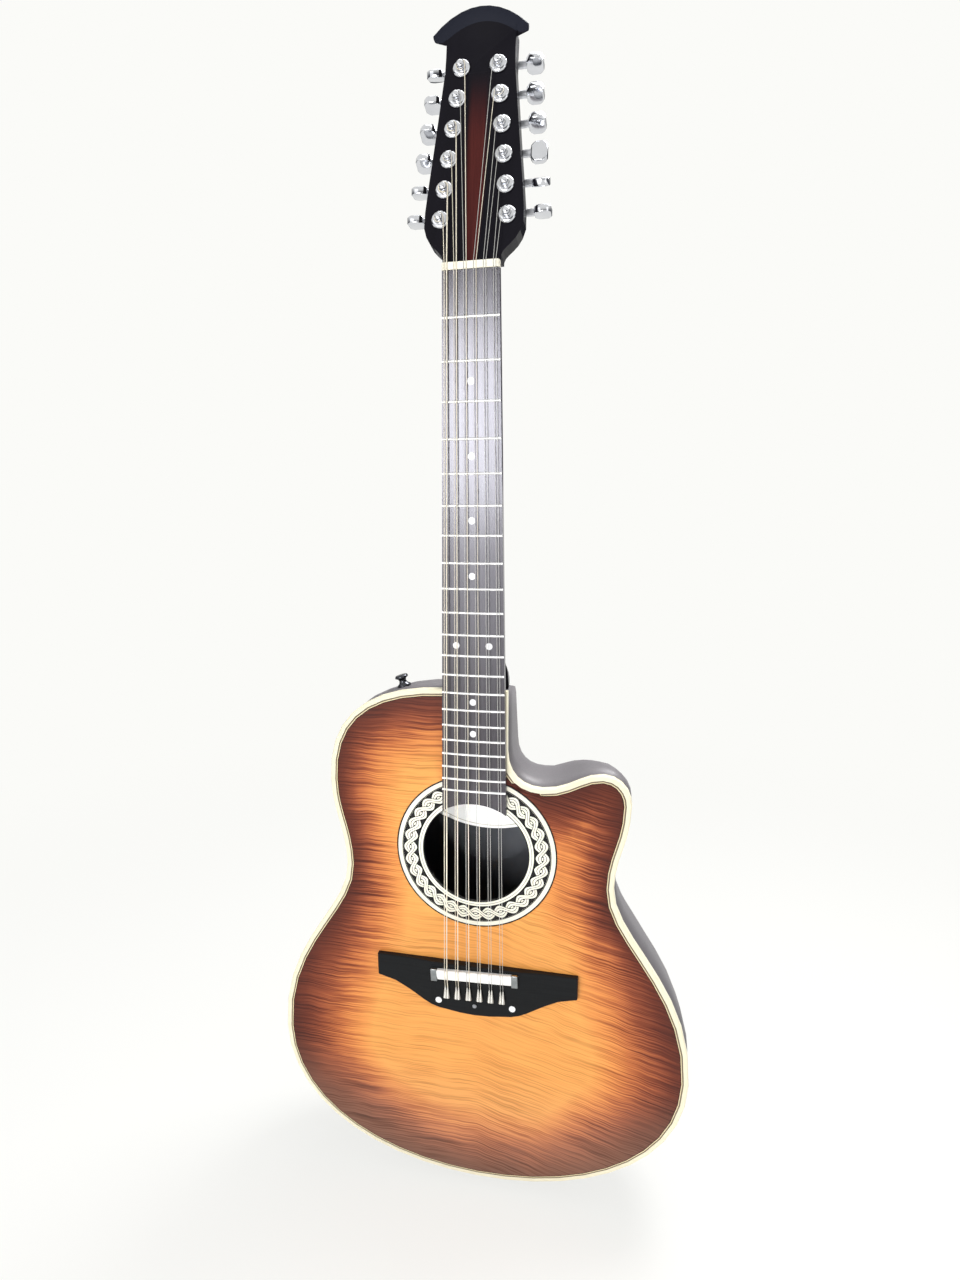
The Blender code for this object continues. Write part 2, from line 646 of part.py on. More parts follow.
def tube(bm, points, radius, sides):
    rings = []
    for i, point in enumerate(points):
        before = points[max(0, i - 1)]
        after = points[min(len(points) - 1, i + 1)]
        along = (after - before).normalized()
        side = along.cross(Vector((0.0, 1.0, 0.0)))
        if side.length < 0.2:
            side = along.cross(Vector((1.0, 0.0, 0.0)))
        side.normalize()
        other = side.cross(along)
        ring = []
        for k in range(sides):
            angle = 2.0 * math.pi * k / sides
            ring.append(point + radius * (math.cos(angle) * side + math.sin(angle) * other))
        rings.append(ring)
    return loft(bm, rings)


# Each string runs whole from the bridge over saddle and nut and once round its post
def string_route(index):
    radius = string_radius(index)
    x_nut = string_offsets(STRING_SPREAD_NUT, PAIR_GAP_NUT)[index]
    x_saddle = string_offsets(STRING_SPREAD_SADDLE, PAIR_GAP_SADDLE)[index]
    side = -1.0 if index < 6 else 1.0
    row = index if index < 6 else 11 - index
    x_post, up_post = post_places()[row]
    x_post *= side
    anchor_y = -(BRIDGE_THICKNESS + SEAT + 0.0003) - radius
    crest_z = from_nut(SCALE_LENGTH) + SADDLE_SLANT * x_saddle / SADDLE_LENGTH
    points = [Vector((x_saddle, anchor_y, from_nut(STRING_ANCHOR_FROM_NUT))),
              Vector((x_saddle, -SADDLE_TOP - SEAT - radius, crest_z)),
              Vector((x_nut, -STRING_OVER_NUT, NUT_Z - 0.0002)),
              Vector((x_nut, -STRING_OVER_NUT, NUT_Z + NUT_THICKNESS + 0.0002))]
    wrap = POST_RADIUS + SEAT + radius
    inner = math.pi if side > 0 else 0.0
    turns = 300.0
    pieces = 9
    for k in range(pieces + 1):
        angle = inner + side * -1.0 * math.radians(turns) * k / pieces
        climb = STRING_WRAP_HEIGHT - k / pieces * (2.0 * radius + 0.0004) * turns / 360.0
        points.append(head_point(x_post + wrap * math.cos(angle), up_post + wrap * math.sin(angle), climb))
    return points


def make_strings(materials):
    for index in range(12):
        bm = tube(bmesh.new(), string_route(index), string_radius(index), STRING_SIDES)
        finish_object("string_%02d" % (index + 1), bm, materials["steel"])


def housing_block(bm):
    back = -HEAD_THICKNESS - SEAT - HOUSING_DEPTH
    front = -HEAD_THICKNESS - SEAT
    chamfer = 0.0016
    half = 0.0080
    low = -0.0068
    high = WORM_OFFSET + 0.0048
    rings = []
    for out, inset in ((front, 0.0), (back + chamfer, 0.0), (back, chamfer)):
        rings.append([(-half + inset, low + inset + chamfer, out), (-half + inset + chamfer, low + inset, out),
                      (half - inset - chamfer, low + inset, out), (half - inset, low + inset + chamfer, out),
                      (half - inset, high - inset - chamfer, out), (half - inset - chamfer, high - inset, out),
                      (-half + inset + chamfer, high - inset, out), (-half + inset, high - inset - chamfer, out)])
    return loft(bm, [[Vector(point) for point in ring] for ring in rings])


def tuner_worm_depth():
    return -HEAD_THICKNESS - SEAT - HOUSING_DEPTH / 2.0


# The housing carries its own bushing and front washer, with a post bore and a worm shaft bore
def tuner_housing_shape(material):
    housing = finish_object("housing_shape", housing_block(bmesh.new()), material)
    front = SEAT
    profile = [(BUSHING_RADIUS, -HEAD_THICKNESS - 0.004), (BUSHING_RADIUS, front), (WASHER_RADIUS, front),
               (WASHER_RADIUS, front + 0.0012), (WASHER_RADIUS - 0.0012, front + 0.0022),
               (WASHER_RADIUS - 0.0028, front + 0.0026)]
    bushing = finish_object("bushing_tool", revolve(bmesh.new(), profile, ROUND_BUSHING,
                            lambda a, b, c: Vector((a, b, c))), material)
    apply_boolean(housing, bushing, "UNION")
    bore = POST_RADIUS + BORE_CLEARANCE
    depth = -HEAD_THICKNESS - 0.0070
    post_bore = finish_object("post_bore", revolve(bmesh.new(), [(bore, depth), (bore, 0.010)], ROUND_SMALL,
                              lambda a, b, c: Vector((a, b, c))), material)
    apply_boolean(housing, post_bore, "DIFFERENCE")
    worm = WORM_RADIUS + BORE_CLEARANCE
    worm_bore = finish_object("worm_bore", revolve(bmesh.new(), [(worm, -0.0055), (worm, 0.0120)], ROUND_SMALL,
                              lambda a, b, c: Vector((c, WORM_OFFSET + a, tuner_worm_depth() + b))), material)
    return apply_boolean(housing, worm_bore, "DIFFERENCE")


def make_tuner(materials, shape, side, label, row, place, turn):
    x, up = place
    x *= side
    chrome = materials["chrome"]
    bm = bmesh.new()
    bm.from_mesh(shape.data)
    for vertex in bm.verts:
        local = vertex.co.copy()
        vertex.co = head_point(x + side * local.x, up + local.y, local.z)
    finish_object("tuner_%s_%d" % (label, row), bm, chrome)
    bottom = -HEAD_THICKNESS - 0.0070 + SEAT
    profile = [(POST_RADIUS, bottom), (POST_RADIUS, 0.0031), (POST_RADIUS - 0.0004, 0.0036),
               (POST_RADIUS - 0.0004, 0.0068), (POST_RADIUS, 0.0074), (POST_RADIUS, POST_HEIGHT - 0.0008),
               (POST_RADIUS - 0.0008, POST_HEIGHT)]
    post = revolve(bmesh.new(), profile, ROUND_SMALL, lambda a, b, c: head_point(x + a, up + b, c))
    finish_object("post_%s_%d" % (label, row), post, chrome, head_point(x, up, 0.0))
    worm_up = up + WORM_OFFSET
    start = head_half_width(worm_up) + KNOB_GAP
    inside = place[0] - 0.0052
    collar = place[0] + 0.0083
    rings = [(inside, WORM_RADIUS, WORM_RADIUS), (collar, WORM_RADIUS, WORM_RADIUS),
             (collar, 0.0030, 0.0030), (start - 0.0010, 0.0030, 0.0030),
             (start, 0.0034, 0.0030), (start + 0.10 * KNOB_LENGTH, 0.38 * KNOB_HEIGHT, 0.42 * KNOB_THICKNESS),
             (start + 0.34 * KNOB_LENGTH, 0.49 * KNOB_HEIGHT, 0.50 * KNOB_THICKNESS),
             (start + 0.66 * KNOB_LENGTH, 0.49 * KNOB_HEIGHT, 0.50 * KNOB_THICKNESS),
             (start + 0.90 * KNOB_LENGTH, 0.38 * KNOB_HEIGHT, 0.42 * KNOB_THICKNESS),
             (start + KNOB_LENGTH, 0.20 * KNOB_HEIGHT, 0.24 * KNOB_THICKNESS)]
    angle = math.radians(turn)
    sections = []
    for along, tall, thick in rings:
        ring = []
        for k in range(ROUND_SMALL):
            a = 2.0 * math.pi * k / ROUND_SMALL
            u = tall * math.cos(a)
            v = thick * math.sin(a)
            rise = u * math.cos(angle) - v * math.sin(angle)
            out = u * math.sin(angle) + v * math.cos(angle)
            ring.append(head_point(side * along, worm_up + rise, tuner_worm_depth() + out))
        sections.append(ring)
    origin = head_point(side * place[0], worm_up, tuner_worm_depth())
    finish_object("knob_%s_%d" % (label, row), loft(bmesh.new(), sections), chrome, origin)


def make_tuners(materials):
    shape = tuner_housing_shape(materials["chrome"])
    for side, label, turns in ((1.0, "treble", KNOB_REST_TURNS_TREBLE), (-1.0, "bass", KNOB_REST_TURNS_BASS)):
        for row, place in enumerate(post_places()):
            make_tuner(materials, shape, side, label, row + 1, place, turns[row])
    bpy.data.objects.remove(shape, do_unlink=True)


def button_profile(buried):
    radius = BUTTON_RADIUS
    height = BUTTON_HEIGHT
    return [(radius, -buried), (radius, 0.0012), (radius * 0.62, 0.0030), (radius * 0.50, height * 0.50),
            (radius * 0.62, height * 0.68), (radius * 0.95, height * 0.78), (radius * 0.95, height * 0.90),
            (radius * 0.80, height)]


def make_button(name, materials, seat, axis, buried):
    turn = Vector((0.0, 0.0, 1.0)).rotation_difference(axis).to_matrix()
    bm = revolve(bmesh.new(), button_profile(buried), ROUND_BUSHING,
                 lambda a, b, c: seat + turn @ Vector((a, b, c)))
    button = finish_object(name, bm, materials["chrome"])
    pocket = bowl_solid("button_pocket", materials["chrome"], SEAT, BINDING_HEIGHT + SEAT)
    return apply_boolean(button, pocket, "DIFFERENCE")


def make_end_button(materials):
    seat = Vector((0.0, END_BUTTON_DEPTH, BUTTON_HEIGHT))
    return make_button("end_button", materials, seat, Vector((0.0, 0.0, -1.0)), 0.0100)


def make_strap_button(materials):
    rim = offset_outline(body_outline(), BINDING_WIDTH)
    shoulder = [p for p in rim if p[0] < 0.0 and p[1] > UPPER_Z]
    pairs = sorted(zip(shoulder, shoulder[1:]), key=lambda pair: abs((pair[0][0] + pair[1][0]) / 2 - STRAP_BUTTON_X))
    first, second = pairs[0]
    share = (STRAP_BUTTON_X - first[0]) / (second[0] - first[0])
    edge_z = first[1] + (second[1] - first[1]) * share
    along = Vector((second[0] - first[0], 0.0, second[1] - first[1])).normalized()
    axis = Vector((along.z, 0.0, -along.x))
    seat = Vector((STRAP_BUTTON_X, STRAP_BUTTON_DEPTH, edge_z)) - 0.0002 * axis
    return make_button("strap_button", materials, seat, axis, 0.0080)


# The part's origin is the centre of the end button's outer face
def place_in_frame():
    frame = bpy.data.objects.new("guitar_frame", None)
    frame.location = (0.0, -END_BUTTON_DEPTH, 0.0)
    bpy.context.collection.objects.link(frame)
    for item in list(bpy.data.objects):
        if item.type == "MESH":
            item.parent = frame


def build():
    clear_scene()
    materials = make_materials()
    make_bowl(materials)
    make_soundboard(materials)
    make_binding(materials)
    make_rosette(materials)
    make_neck(materials)
    make_fingerboard(materials)
    make_nut(materials)
    make_bridge(materials)
    make_saddle(materials)
    make_strings(materials)
    make_tuners(materials)
    make_end_button(materials)
    make_strap_button(materials)
    place_in_frame()


build()
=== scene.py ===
# %% [markdown]
# A twelve-string guitar with a moulded round back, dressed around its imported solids. The solids
# give every size and place, so they are read first. This script gives them wood, lacquer, metal
# and bone, and replaces a solid only where its finish needs finer pieces than it has.

# %% Load the frame
import json
import math

import bpy
from mathutils import Matrix, Vector

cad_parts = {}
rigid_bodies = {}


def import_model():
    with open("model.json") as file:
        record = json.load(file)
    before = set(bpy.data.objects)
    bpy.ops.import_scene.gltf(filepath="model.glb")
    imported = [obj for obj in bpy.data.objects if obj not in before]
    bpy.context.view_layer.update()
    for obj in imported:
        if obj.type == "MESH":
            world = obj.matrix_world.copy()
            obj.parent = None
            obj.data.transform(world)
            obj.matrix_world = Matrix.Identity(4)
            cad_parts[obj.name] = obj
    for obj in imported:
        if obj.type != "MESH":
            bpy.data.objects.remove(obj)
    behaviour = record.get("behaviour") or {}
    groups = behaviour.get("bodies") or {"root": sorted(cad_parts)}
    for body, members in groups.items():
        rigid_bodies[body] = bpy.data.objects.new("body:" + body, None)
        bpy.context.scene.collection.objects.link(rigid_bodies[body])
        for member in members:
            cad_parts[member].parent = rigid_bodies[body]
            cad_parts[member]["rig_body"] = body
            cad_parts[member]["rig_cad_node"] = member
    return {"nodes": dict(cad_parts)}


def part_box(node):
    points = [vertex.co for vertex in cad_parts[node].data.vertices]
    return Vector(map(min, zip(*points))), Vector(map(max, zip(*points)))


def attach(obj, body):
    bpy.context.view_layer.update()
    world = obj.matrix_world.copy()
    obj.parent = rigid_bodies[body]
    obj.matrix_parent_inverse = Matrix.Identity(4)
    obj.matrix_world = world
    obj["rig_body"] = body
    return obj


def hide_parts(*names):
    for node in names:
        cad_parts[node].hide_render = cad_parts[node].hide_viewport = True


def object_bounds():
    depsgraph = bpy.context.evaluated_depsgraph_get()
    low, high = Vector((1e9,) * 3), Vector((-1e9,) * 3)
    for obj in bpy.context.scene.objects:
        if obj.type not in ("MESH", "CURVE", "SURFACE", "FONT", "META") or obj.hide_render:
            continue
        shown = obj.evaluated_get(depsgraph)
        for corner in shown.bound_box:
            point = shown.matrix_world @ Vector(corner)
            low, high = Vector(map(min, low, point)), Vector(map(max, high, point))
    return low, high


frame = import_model()
nodes = frame["nodes"]
cad_low, cad_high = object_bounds()
print("CAD box in mm:", [round(1000 * (high - low), 1) for low, high in zip(cad_low, cad_high)])

# %% [markdown]
# The camera comes first. It could be set by eye, but a solved one lets an edge be compared to the
# pixel, so its place was worked out from the fret spacing and the rings of the soundhole. The small
# shift stands for the photograph's own crop.

# %% Camera
IMAGE_WIDTH = 960
IMAGE_HEIGHT = 1280
SENSOR = 36.0
FOCAL_PIXELS = 902.0
VIEW_CENTRE = (421.5, 691.3)
CAMERA_PLACE = (0.1649, -0.8220, 0.7665)
CAMERA_FORWARD = Vector((-0.2562, 0.9308, -0.2605))
CAMERA_UP = Vector((-0.0484, 0.2568, 0.9652))
NEAREST_SEEN = 0.01


def make_camera():
    bpy.ops.object.camera_add(location=CAMERA_PLACE)
    camera = bpy.context.object
    camera.name = "photograph_camera"
    back = -CAMERA_FORWARD.normalized()
    right = CAMERA_UP.cross(back).normalized()
    up = back.cross(right)
    camera.rotation_euler = Matrix((right, up, back)).transposed().to_euler()
    camera.data.sensor_width = SENSOR
    camera.data.lens = FOCAL_PIXELS * SENSOR / IMAGE_HEIGHT
    camera.data.shift_x = (IMAGE_WIDTH / 2 - VIEW_CENTRE[0]) / IMAGE_HEIGHT
    camera.data.shift_y = (VIEW_CENTRE[1] - IMAGE_HEIGHT / 2) / IMAGE_HEIGHT
    camera.data.clip_start = NEAREST_SEEN
    bpy.context.scene.camera = camera
    print("camera lens in mm:", round(camera.data.lens, 2))


make_camera()

# %% [markdown]
# An operator acts on all that is selected. So each step starts from nothing selected and picks
# what it works on in code. One helper picks an object, one picks faces by place or normal, and
# one leaves a finished object at the origin, unturned and unscaled.

# %% Selection helpers
def pick_only(item):
    if bpy.context.object and bpy.context.object.mode != "OBJECT":
        bpy.ops.object.mode_set(mode="OBJECT")
    bpy.ops.object.select_all(action="DESELECT")
    item.select_set(True)
    bpy.context.view_layer.objects.active = item


def pick_faces(item, wanted):
    pick_only(item)
    bpy.ops.object.mode_set(mode="EDIT")
    bpy.ops.mesh.select_mode(type="FACE")
    bpy.ops.mesh.select_all(action="DESELECT")
    bpy.ops.object.mode_set(mode="OBJECT")
    for face in item.data.polygons:
        face.select = wanted(face)
    bpy.ops.object.mode_set(mode="EDIT")


def settle(item, name):
    bpy.ops.object.mode_set(mode="OBJECT")
    pick_only(item)
    bpy.ops.object.transform_apply(location=True, rotation=True, scale=True)
    item.name = name
    item.data.name = name
    return item


# %% [markdown]
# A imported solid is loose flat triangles, and it is never changed itself. What needs a finer mesh
# works on a copy, which is merged into one closed surface first. The copy drops the two marks by
# which the frame knows its own solids, so it counts as a piece of its own.

# %% Copies of solids
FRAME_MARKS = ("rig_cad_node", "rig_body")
MERGE_DISTANCE = 0.00001


def copy_of_node(node, name):
    pick_only(nodes[node])
    bpy.ops.object.duplicate()
    piece = bpy.context.object
    bpy.ops.object.parent_clear(type="CLEAR_KEEP_TRANSFORM")
    for key in FRAME_MARKS:
        if key in piece:
            del piece[key]
    piece.name = name
    piece.data.name = name
    bpy.ops.object.mode_set(mode="EDIT")
    bpy.ops.mesh.select_all(action="SELECT")
    bpy.ops.mesh.remove_doubles(threshold=MERGE_DISTANCE)
    bpy.ops.object.mode_set(mode="OBJECT")
    return piece


def smooth(item, degrees):
    pick_only(item)
    bpy.ops.object.shade_smooth_by_angle(angle=math.radians(degrees))


# %% [markdown]
# Several pieces share a few places: the nut, the face of the soundboard and the centre of the
# soundhole. They could be typed in, but read from the frame they stay true to the solids.

# %% Shared places
top_low, top_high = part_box("soundboard")
hole_low, hole_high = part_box("rosette")
NUT_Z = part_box("nut")[0].z
TOP_Y = top_low.y
HOLE = (hole_low + hole_high) / 2
HOLE_RADIUS = 0.0515
print("nut at", round(NUT_Z, 4), "top face at", round(TOP_Y, 4), "hole at", round(HOLE.z, 4))

# %% [markdown]
# The soundboard is a thin figured veneer under a sunburst: gold in the middle, red-brown at the
# rim. The burst follows the outline, so the finish needs to know how far each point is from the
# rim. A painted mask could say it, but the outline itself stays exact. Its edges are those that
# only one face of the top has, apart from the edges round the soundhole.

# %% Rim of the soundboard
FACING_FRONT = -0.99
FACE_DEPTH = 0.0001
ROSETTE_REACH = 0.085
FAR_AWAY = 1.0


def on_top(face):
    return face.normal.y < FACING_FRONT and face.center.y < TOP_Y + FACE_DEPTH


def rim_edges(piece):
    uses = {}
    for face in piece.data.polygons:
        if on_top(face):
            for key in face.edge_keys:
                uses[key] = uses.get(key, 0) + 1
    corners = piece.data.vertices
    edges = [key for key, count in uses.items() if count == 1]
    return [(corners[a].co.copy(), corners[b].co.copy()) for a, b in edges
            if (corners[a].co - HOLE).length > ROSETTE_REACH]


def distance_to(edges, point):
    nearest = FAR_AWAY
    for start, end in edges:
        along = end - start
        share = max(0.0, min(1.0, (point - start).dot(along) / along.length_squared))
        nearest = min(nearest, (start + share * along - point).length)
    return nearest


# %% [markdown]
# The distance is kept in an attribute, a value at each point of the mesh. The solid has too few
# points for it, so its copy gets a thin inset for the inlay lines and is cut into small squares.
# A subdivision would do this too, but cuts at even steps leave squares of one size all over.

# %% Soundboard mesh
INLAY_WIDTH = 0.0022
GRID_STEP = 0.0090


def cut_grid(piece, low, high):
    pick_faces(piece, lambda face: True)
    for axis in (0, 2):
        normal = [0.0, 0.0, 0.0]
        normal[axis] = 1.0
        steps = int((high[axis] - low[axis]) / GRID_STEP)
        for i in range(1, steps + 1):
            point = [0.0, 0.0, 0.0]
            point[axis] = low[axis] + i * GRID_STEP
            bpy.ops.mesh.select_all(action="SELECT")
            bpy.ops.mesh.bisect(plane_co=point, plane_no=normal)
    bpy.ops.object.mode_set(mode="OBJECT")


def keep_rim_distance(piece, edges):
    attribute = piece.data.attributes.new("rim_distance", "FLOAT", "POINT")
    flat_edges = [(Vector((a.x, 0, a.z)), Vector((b.x, 0, b.z))) for a, b in edges]
    for vertex, entry in zip(piece.data.vertices, attribute.data):
        entry.value = distance_to(flat_edges, Vector((vertex.co.x, 0, vertex.co.z)))


def make_soundboard():
    piece = copy_of_node("soundboard", "figured_soundboard")
    edges = rim_edges(piece)
    pick_faces(piece, on_top)
    bpy.ops.mesh.inset(thickness=INLAY_WIDTH)
    cut_grid(piece, top_low, top_high)
    keep_rim_distance(piece, edges)
    smooth(piece, 30)
    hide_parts("soundboard")
    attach(piece, "guitar")
    print("soundboard:", len(piece.data.vertices), "points,", len(edges), "rim edges")
    return piece


soundboard = make_soundboard()

# %% [markdown]
# A finish is a small tree of nodes. Built by hand it takes many lines, so one helper starts a
# material, one adds a node with its settings, one feeds a socket with a link or a value, and the
# last three do arithmetic. Colours are written as the 0 to 255 values of a colour picker.

# %% Node helpers
def tint(red, green, blue):
    linear = []
    for channel in (red, green, blue):
        share = channel / 255
        linear.append(share / 12.92 if share <= 0.04045 else ((share + 0.055) / 1.055) ** 2.4)
    return (*linear, 1.0)


def start_finish(name, roughness, metallic=0.0):
    material = bpy.data.materials.new(name)
    material.use_nodes = True
    tree = material.node_tree
    shader = tree.nodes["Principled BSDF"]
    shader.inputs["Roughness"].default_value = roughness
    shader.inputs["Metallic"].default_value = metallic
    return material, tree, shader


def feed(tree, socket, value):
    if isinstance(value, bpy.types.NodeSocket):
        tree.links.new(value, socket)
    else:
        socket.default_value = value


def add(tree, kind, inputs=None, **settings):
    node = tree.nodes.new("ShaderNode" + kind)
    for name, value in settings.items():
        setattr(node, name, value)
    for name, value in (inputs or {}).items():
        feed(tree, node.inputs[name], value)
    return node


def calc(tree, operation, *values, clamp=False):
    node = tree.nodes.new("ShaderNodeMath")
    node.operation = operation
    node.use_clamp = clamp
    for socket, value in zip(node.inputs, values):
        feed(tree, socket, value)
    return node.outputs[0]


def times(tree, first, *others):
    for other in others:
        first = calc(tree, "MULTIPLY", first, other)
    return first


def rest_of(tree, share):
    return calc(tree, "SUBTRACT", 1.0, share)


# %% [markdown]
# Patterns are made from a few more: the place of a point on the object, moved and stretched as a
# pattern needs it, a noise, a soft step between two values, a ramp of colours, a mix of two, and
# the distance from a centre in the plane of the top.

# %% Pattern helpers
def place_of(tree, centre=(0.0, 0.0, 0.0), scale=(1.0, 1.0, 1.0)):
    coordinates = add(tree, "TexCoord")
    shift = [-c * s for c, s in zip(centre, scale)]
    mapping = add(tree, "Mapping", {"Vector": coordinates.outputs["Object"], "Location": shift,
                                    "Scale": scale})
    return mapping.outputs["Vector"]


def even_place(tree, scale):
    return place_of(tree, scale=(scale, scale, scale))


def parts_of(tree, vector):
    split = add(tree, "SeparateXYZ", {"Vector": vector})
    return split.outputs["X"], split.outputs["Y"], split.outputs["Z"]


def flat_length(tree, across, along):
    return calc(tree, "SQRT", calc(tree, "MULTIPLY_ADD", across, across, times(tree, along, along)))


def noise(tree, vector, detail=3.0, roughness=0.5):
    node = add(tree, "TexNoise", {"Vector": vector, "Scale": 1.0, "Detail": detail,
                                  "Roughness": roughness})
    return node.outputs["Fac"]


def fade(tree, value, low, high):
    node = add(tree, "MapRange", {"Value": value, "From Min": low, "From Max": high},
               interpolation_type="SMOOTHSTEP")
    return node.outputs["Result"]


def ramp(tree, value, stops):
    node = add(tree, "ValToRGB", {"Fac": value})
    elements = node.color_ramp.elements
    elements.remove(elements[1])
    elements[0].position = stops[0][0]
    elements[0].color = stops[0][1]
    for position, colour in stops[1:]:
        element = elements.new(position)
        element.color = colour
    return node.outputs["Color"]


def mix(tree, share, first, second, blend="MIX"):
    node = add(tree, "Mix", data_type="RGBA", blend_type=blend)
    feed(tree, node.inputs["Factor"], share)
    feed(tree, node.inputs[6], first)
    feed(tree, node.inputs[7], second)
    return node.outputs[2]


def dress(item, material):
    item.data.materials.clear()
    item.data.materials.append(material)


# %% [markdown]
# A sunburst is sprayed by hand, so its brown band isn't the same width all round: it is wide at
# the horn, the shoulder and the tail, and narrow at the waist. One formula of the rim distance
# would make it even, so zones, each with a soft edge across and along the top, make the reach of
# the gold larger or smaller, and a slow noise lets the border wander.

# %% Reach of the burst
BURST_REACH = 0.0851
WANDER = 0.030
WANDER_SCALE = (16.0, 0.0, 10.0)
BURST_ZONES = (
    ("bass side", ((0.02, -0.10),), (0.22, 0.38), 0.447),
    ("beside the neck", ((-0.105, -0.080), (-0.045, -0.068)), (0.40, 0.47), -0.14),
    ("shoulder", ((-0.085, -0.135),), (0.44, 0.53), -0.40),
    ("horn", ((0.03, 0.09),), (0.40, 0.455), -0.40),
    ("treble side", ((0.02, 0.10),), (0.43, 0.36), 0.30),
    ("treble waist", ((0.078, 0.106),), (0.27, 0.33), 0.46),
    ("lower treble bout", ((0.06, 0.11),), (0.30, 0.24), -0.23),
    ("lower bass bout", ((-0.08, -0.13),), (0.36, 0.28), -0.13),
    ("tail", (), (0.14, 0.04), -0.05),
    ("treble corner of the tail", ((0.05, 0.13),), (0.16, 0.07), -0.33),
    ("bass corner of the tail", ((-0.05, -0.13),), (0.16, 0.07), -0.33),
)


def zone_gain(tree, across, along, borders, height, gain):
    edges = [fade(tree, across, *border) for border in borders]
    share = times(tree, fade(tree, along, *height), *edges)
    return calc(tree, "MULTIPLY_ADD", share, gain, 1.0)


def burst_reach(tree, rim, across, along):
    cloud = noise(tree, place_of(tree, scale=WANDER_SCALE))
    wander = times(tree, calc(tree, "SUBTRACT", cloud, 0.5), WANDER)
    gains = [zone_gain(tree, across, along, borders, height, gain)
             for title, borders, height, gain in BURST_ZONES]
    reach = times(tree, calc(tree, "ADD", rim, wander), *gains)
    return calc(tree, "DIVIDE", reach, BURST_REACH, clamp=True)


print("burst zones:", ", ".join(title for title, borders, height, gain in BURST_ZONES))

# %% [markdown]
# The flame is the veneer's curl: fine bands across the grain that catch the light in turn. A
# noise stretched along the width gives such bands, without the strict beat of a wave texture. It
# is tilted on the treble half, as the two halves of the veneer were laid.

# %% Flame figure
FLAME_TILT = 0.26
FLAME_ACROSS = 13.0
FLAME_ALONG = 620.0
FLAME_SWAY = 0.009
FLAME_SWAY_SCALE = (24.0, 0.0, 14.0)
FLAME_STRIPES = ((0.34, tint(126, 92, 72)), (0.44, tint(206, 184, 168)), (0.55, tint(255, 255, 255)))
PATCH_PLACE = (0.2, 0.0, 0.1)
PATCH_SCALE = (14.0, 0.0, 18.0)
PATCH_FADE = (0.35, 0.60)
PATCH_LEAST = 0.38
RIM_DEPTH = 0.62
GOLD_DEPTH = 0.42


def flame_figure(tree, across, along):
    tilt = times(tree, calc(tree, "MAXIMUM", across, 0.0), FLAME_TILT)
    sway = noise(tree, place_of(tree, scale=FLAME_SWAY_SCALE), 2.0)
    laid = calc(tree, "ADD", along, calc(tree, "MULTIPLY_ADD", sway, FLAME_SWAY, tilt))
    rows = add(tree, "CombineXYZ", {"X": times(tree, across, FLAME_ACROSS),
                                    "Z": times(tree, laid, FLAME_ALONG)})
    return noise(tree, rows.outputs["Vector"], 1.5)


def flame_depth(tree, reach):
    patches = noise(tree, place_of(tree, centre=PATCH_PLACE, scale=PATCH_SCALE), 2.0)
    depth = calc(tree, "MULTIPLY_ADD", fade(tree, patches, *PATCH_FADE), 1.0 - PATCH_LEAST, PATCH_LEAST)
    return times(tree, depth, calc(tree, "MULTIPLY_ADD", reach, GOLD_DEPTH - RIM_DEPTH, RIM_DEPTH))


print("flame: one band in about", round(1000 / FLAME_ALONG, 1), "mm")

# %% [markdown]
# Now the lacquer. The reach drives a ramp from red-brown to gold, and the flame does two things:
# it darkens the wood in fine stripes, and between brown and gold it bites into the border, so
# the two colours meet in fingers, as stain does on curled wood. Towards the tail a pale haze is
# mixed in, which is a painted reflection in the lacquer and not a stain. Three thin inlay lines
# are drawn at their own distances from the rim.

# %% Sunburst finish
LACQUER_ROUGHNESS = 0.24
LACQUER_SPECULAR = 0.28
BURST_STOPS = ((0.00, tint(82, 34, 22)), (0.16, tint(104, 45, 26)), (0.38, tint(144, 72, 42)),
               (0.58, tint(190, 108, 58)), (0.80, tint(222, 142, 74)), (1.00, tint(233, 161, 84)))
FLAME_BITE = 3.6
# The pale colour mixed in towards the tail is a painted reflection in the lacquer.
TAIL_PAINTED_REFLECTION = tint(196, 162, 138)
TAIL_REFLECTION_SHARE = 0.22
TAIL_REFLECTION_FADE = (0.17, 0.05)
INLAY_LINES = ((0.0014, 0.0004, tint(226, 208, 168)), (0.0004, 0.0006, tint(120, 108, 88)),
               (0.0021, 0.0003, tint(34, 20, 16)))
HOLE_EDGE = 0.0006
HOLE_EDGE_BROWN = tint(24, 20, 18)


def line_at(tree, distance, place, half):
    off = calc(tree, "ABSOLUTE", calc(tree, "SUBTRACT", distance, place))
    return calc(tree, "LESS_THAN", off, half)


def stained_wood(tree, rim, across, along):
    reach = burst_reach(tree, rim, across, along)
    figure = flame_figure(tree, across, along)
    border = times(tree, reach, rest_of(tree, reach))
    bite = times(tree, calc(tree, "SUBTRACT", figure, 0.5), FLAME_BITE)
    burst = ramp(tree, calc(tree, "MULTIPLY_ADD", border, bite, reach, clamp=True), BURST_STOPS)
    # Towards the tail the painted reflection is mixed over the burst.
    tail = times(tree, fade(tree, along, *TAIL_REFLECTION_FADE), TAIL_REFLECTION_SHARE)
    burst = mix(tree, tail, burst, TAIL_PAINTED_REFLECTION)
    striped = mix(tree, 1.0, burst, ramp(tree, figure, FLAME_STRIPES), "MULTIPLY")
    return mix(tree, flame_depth(tree, reach), burst, striped)


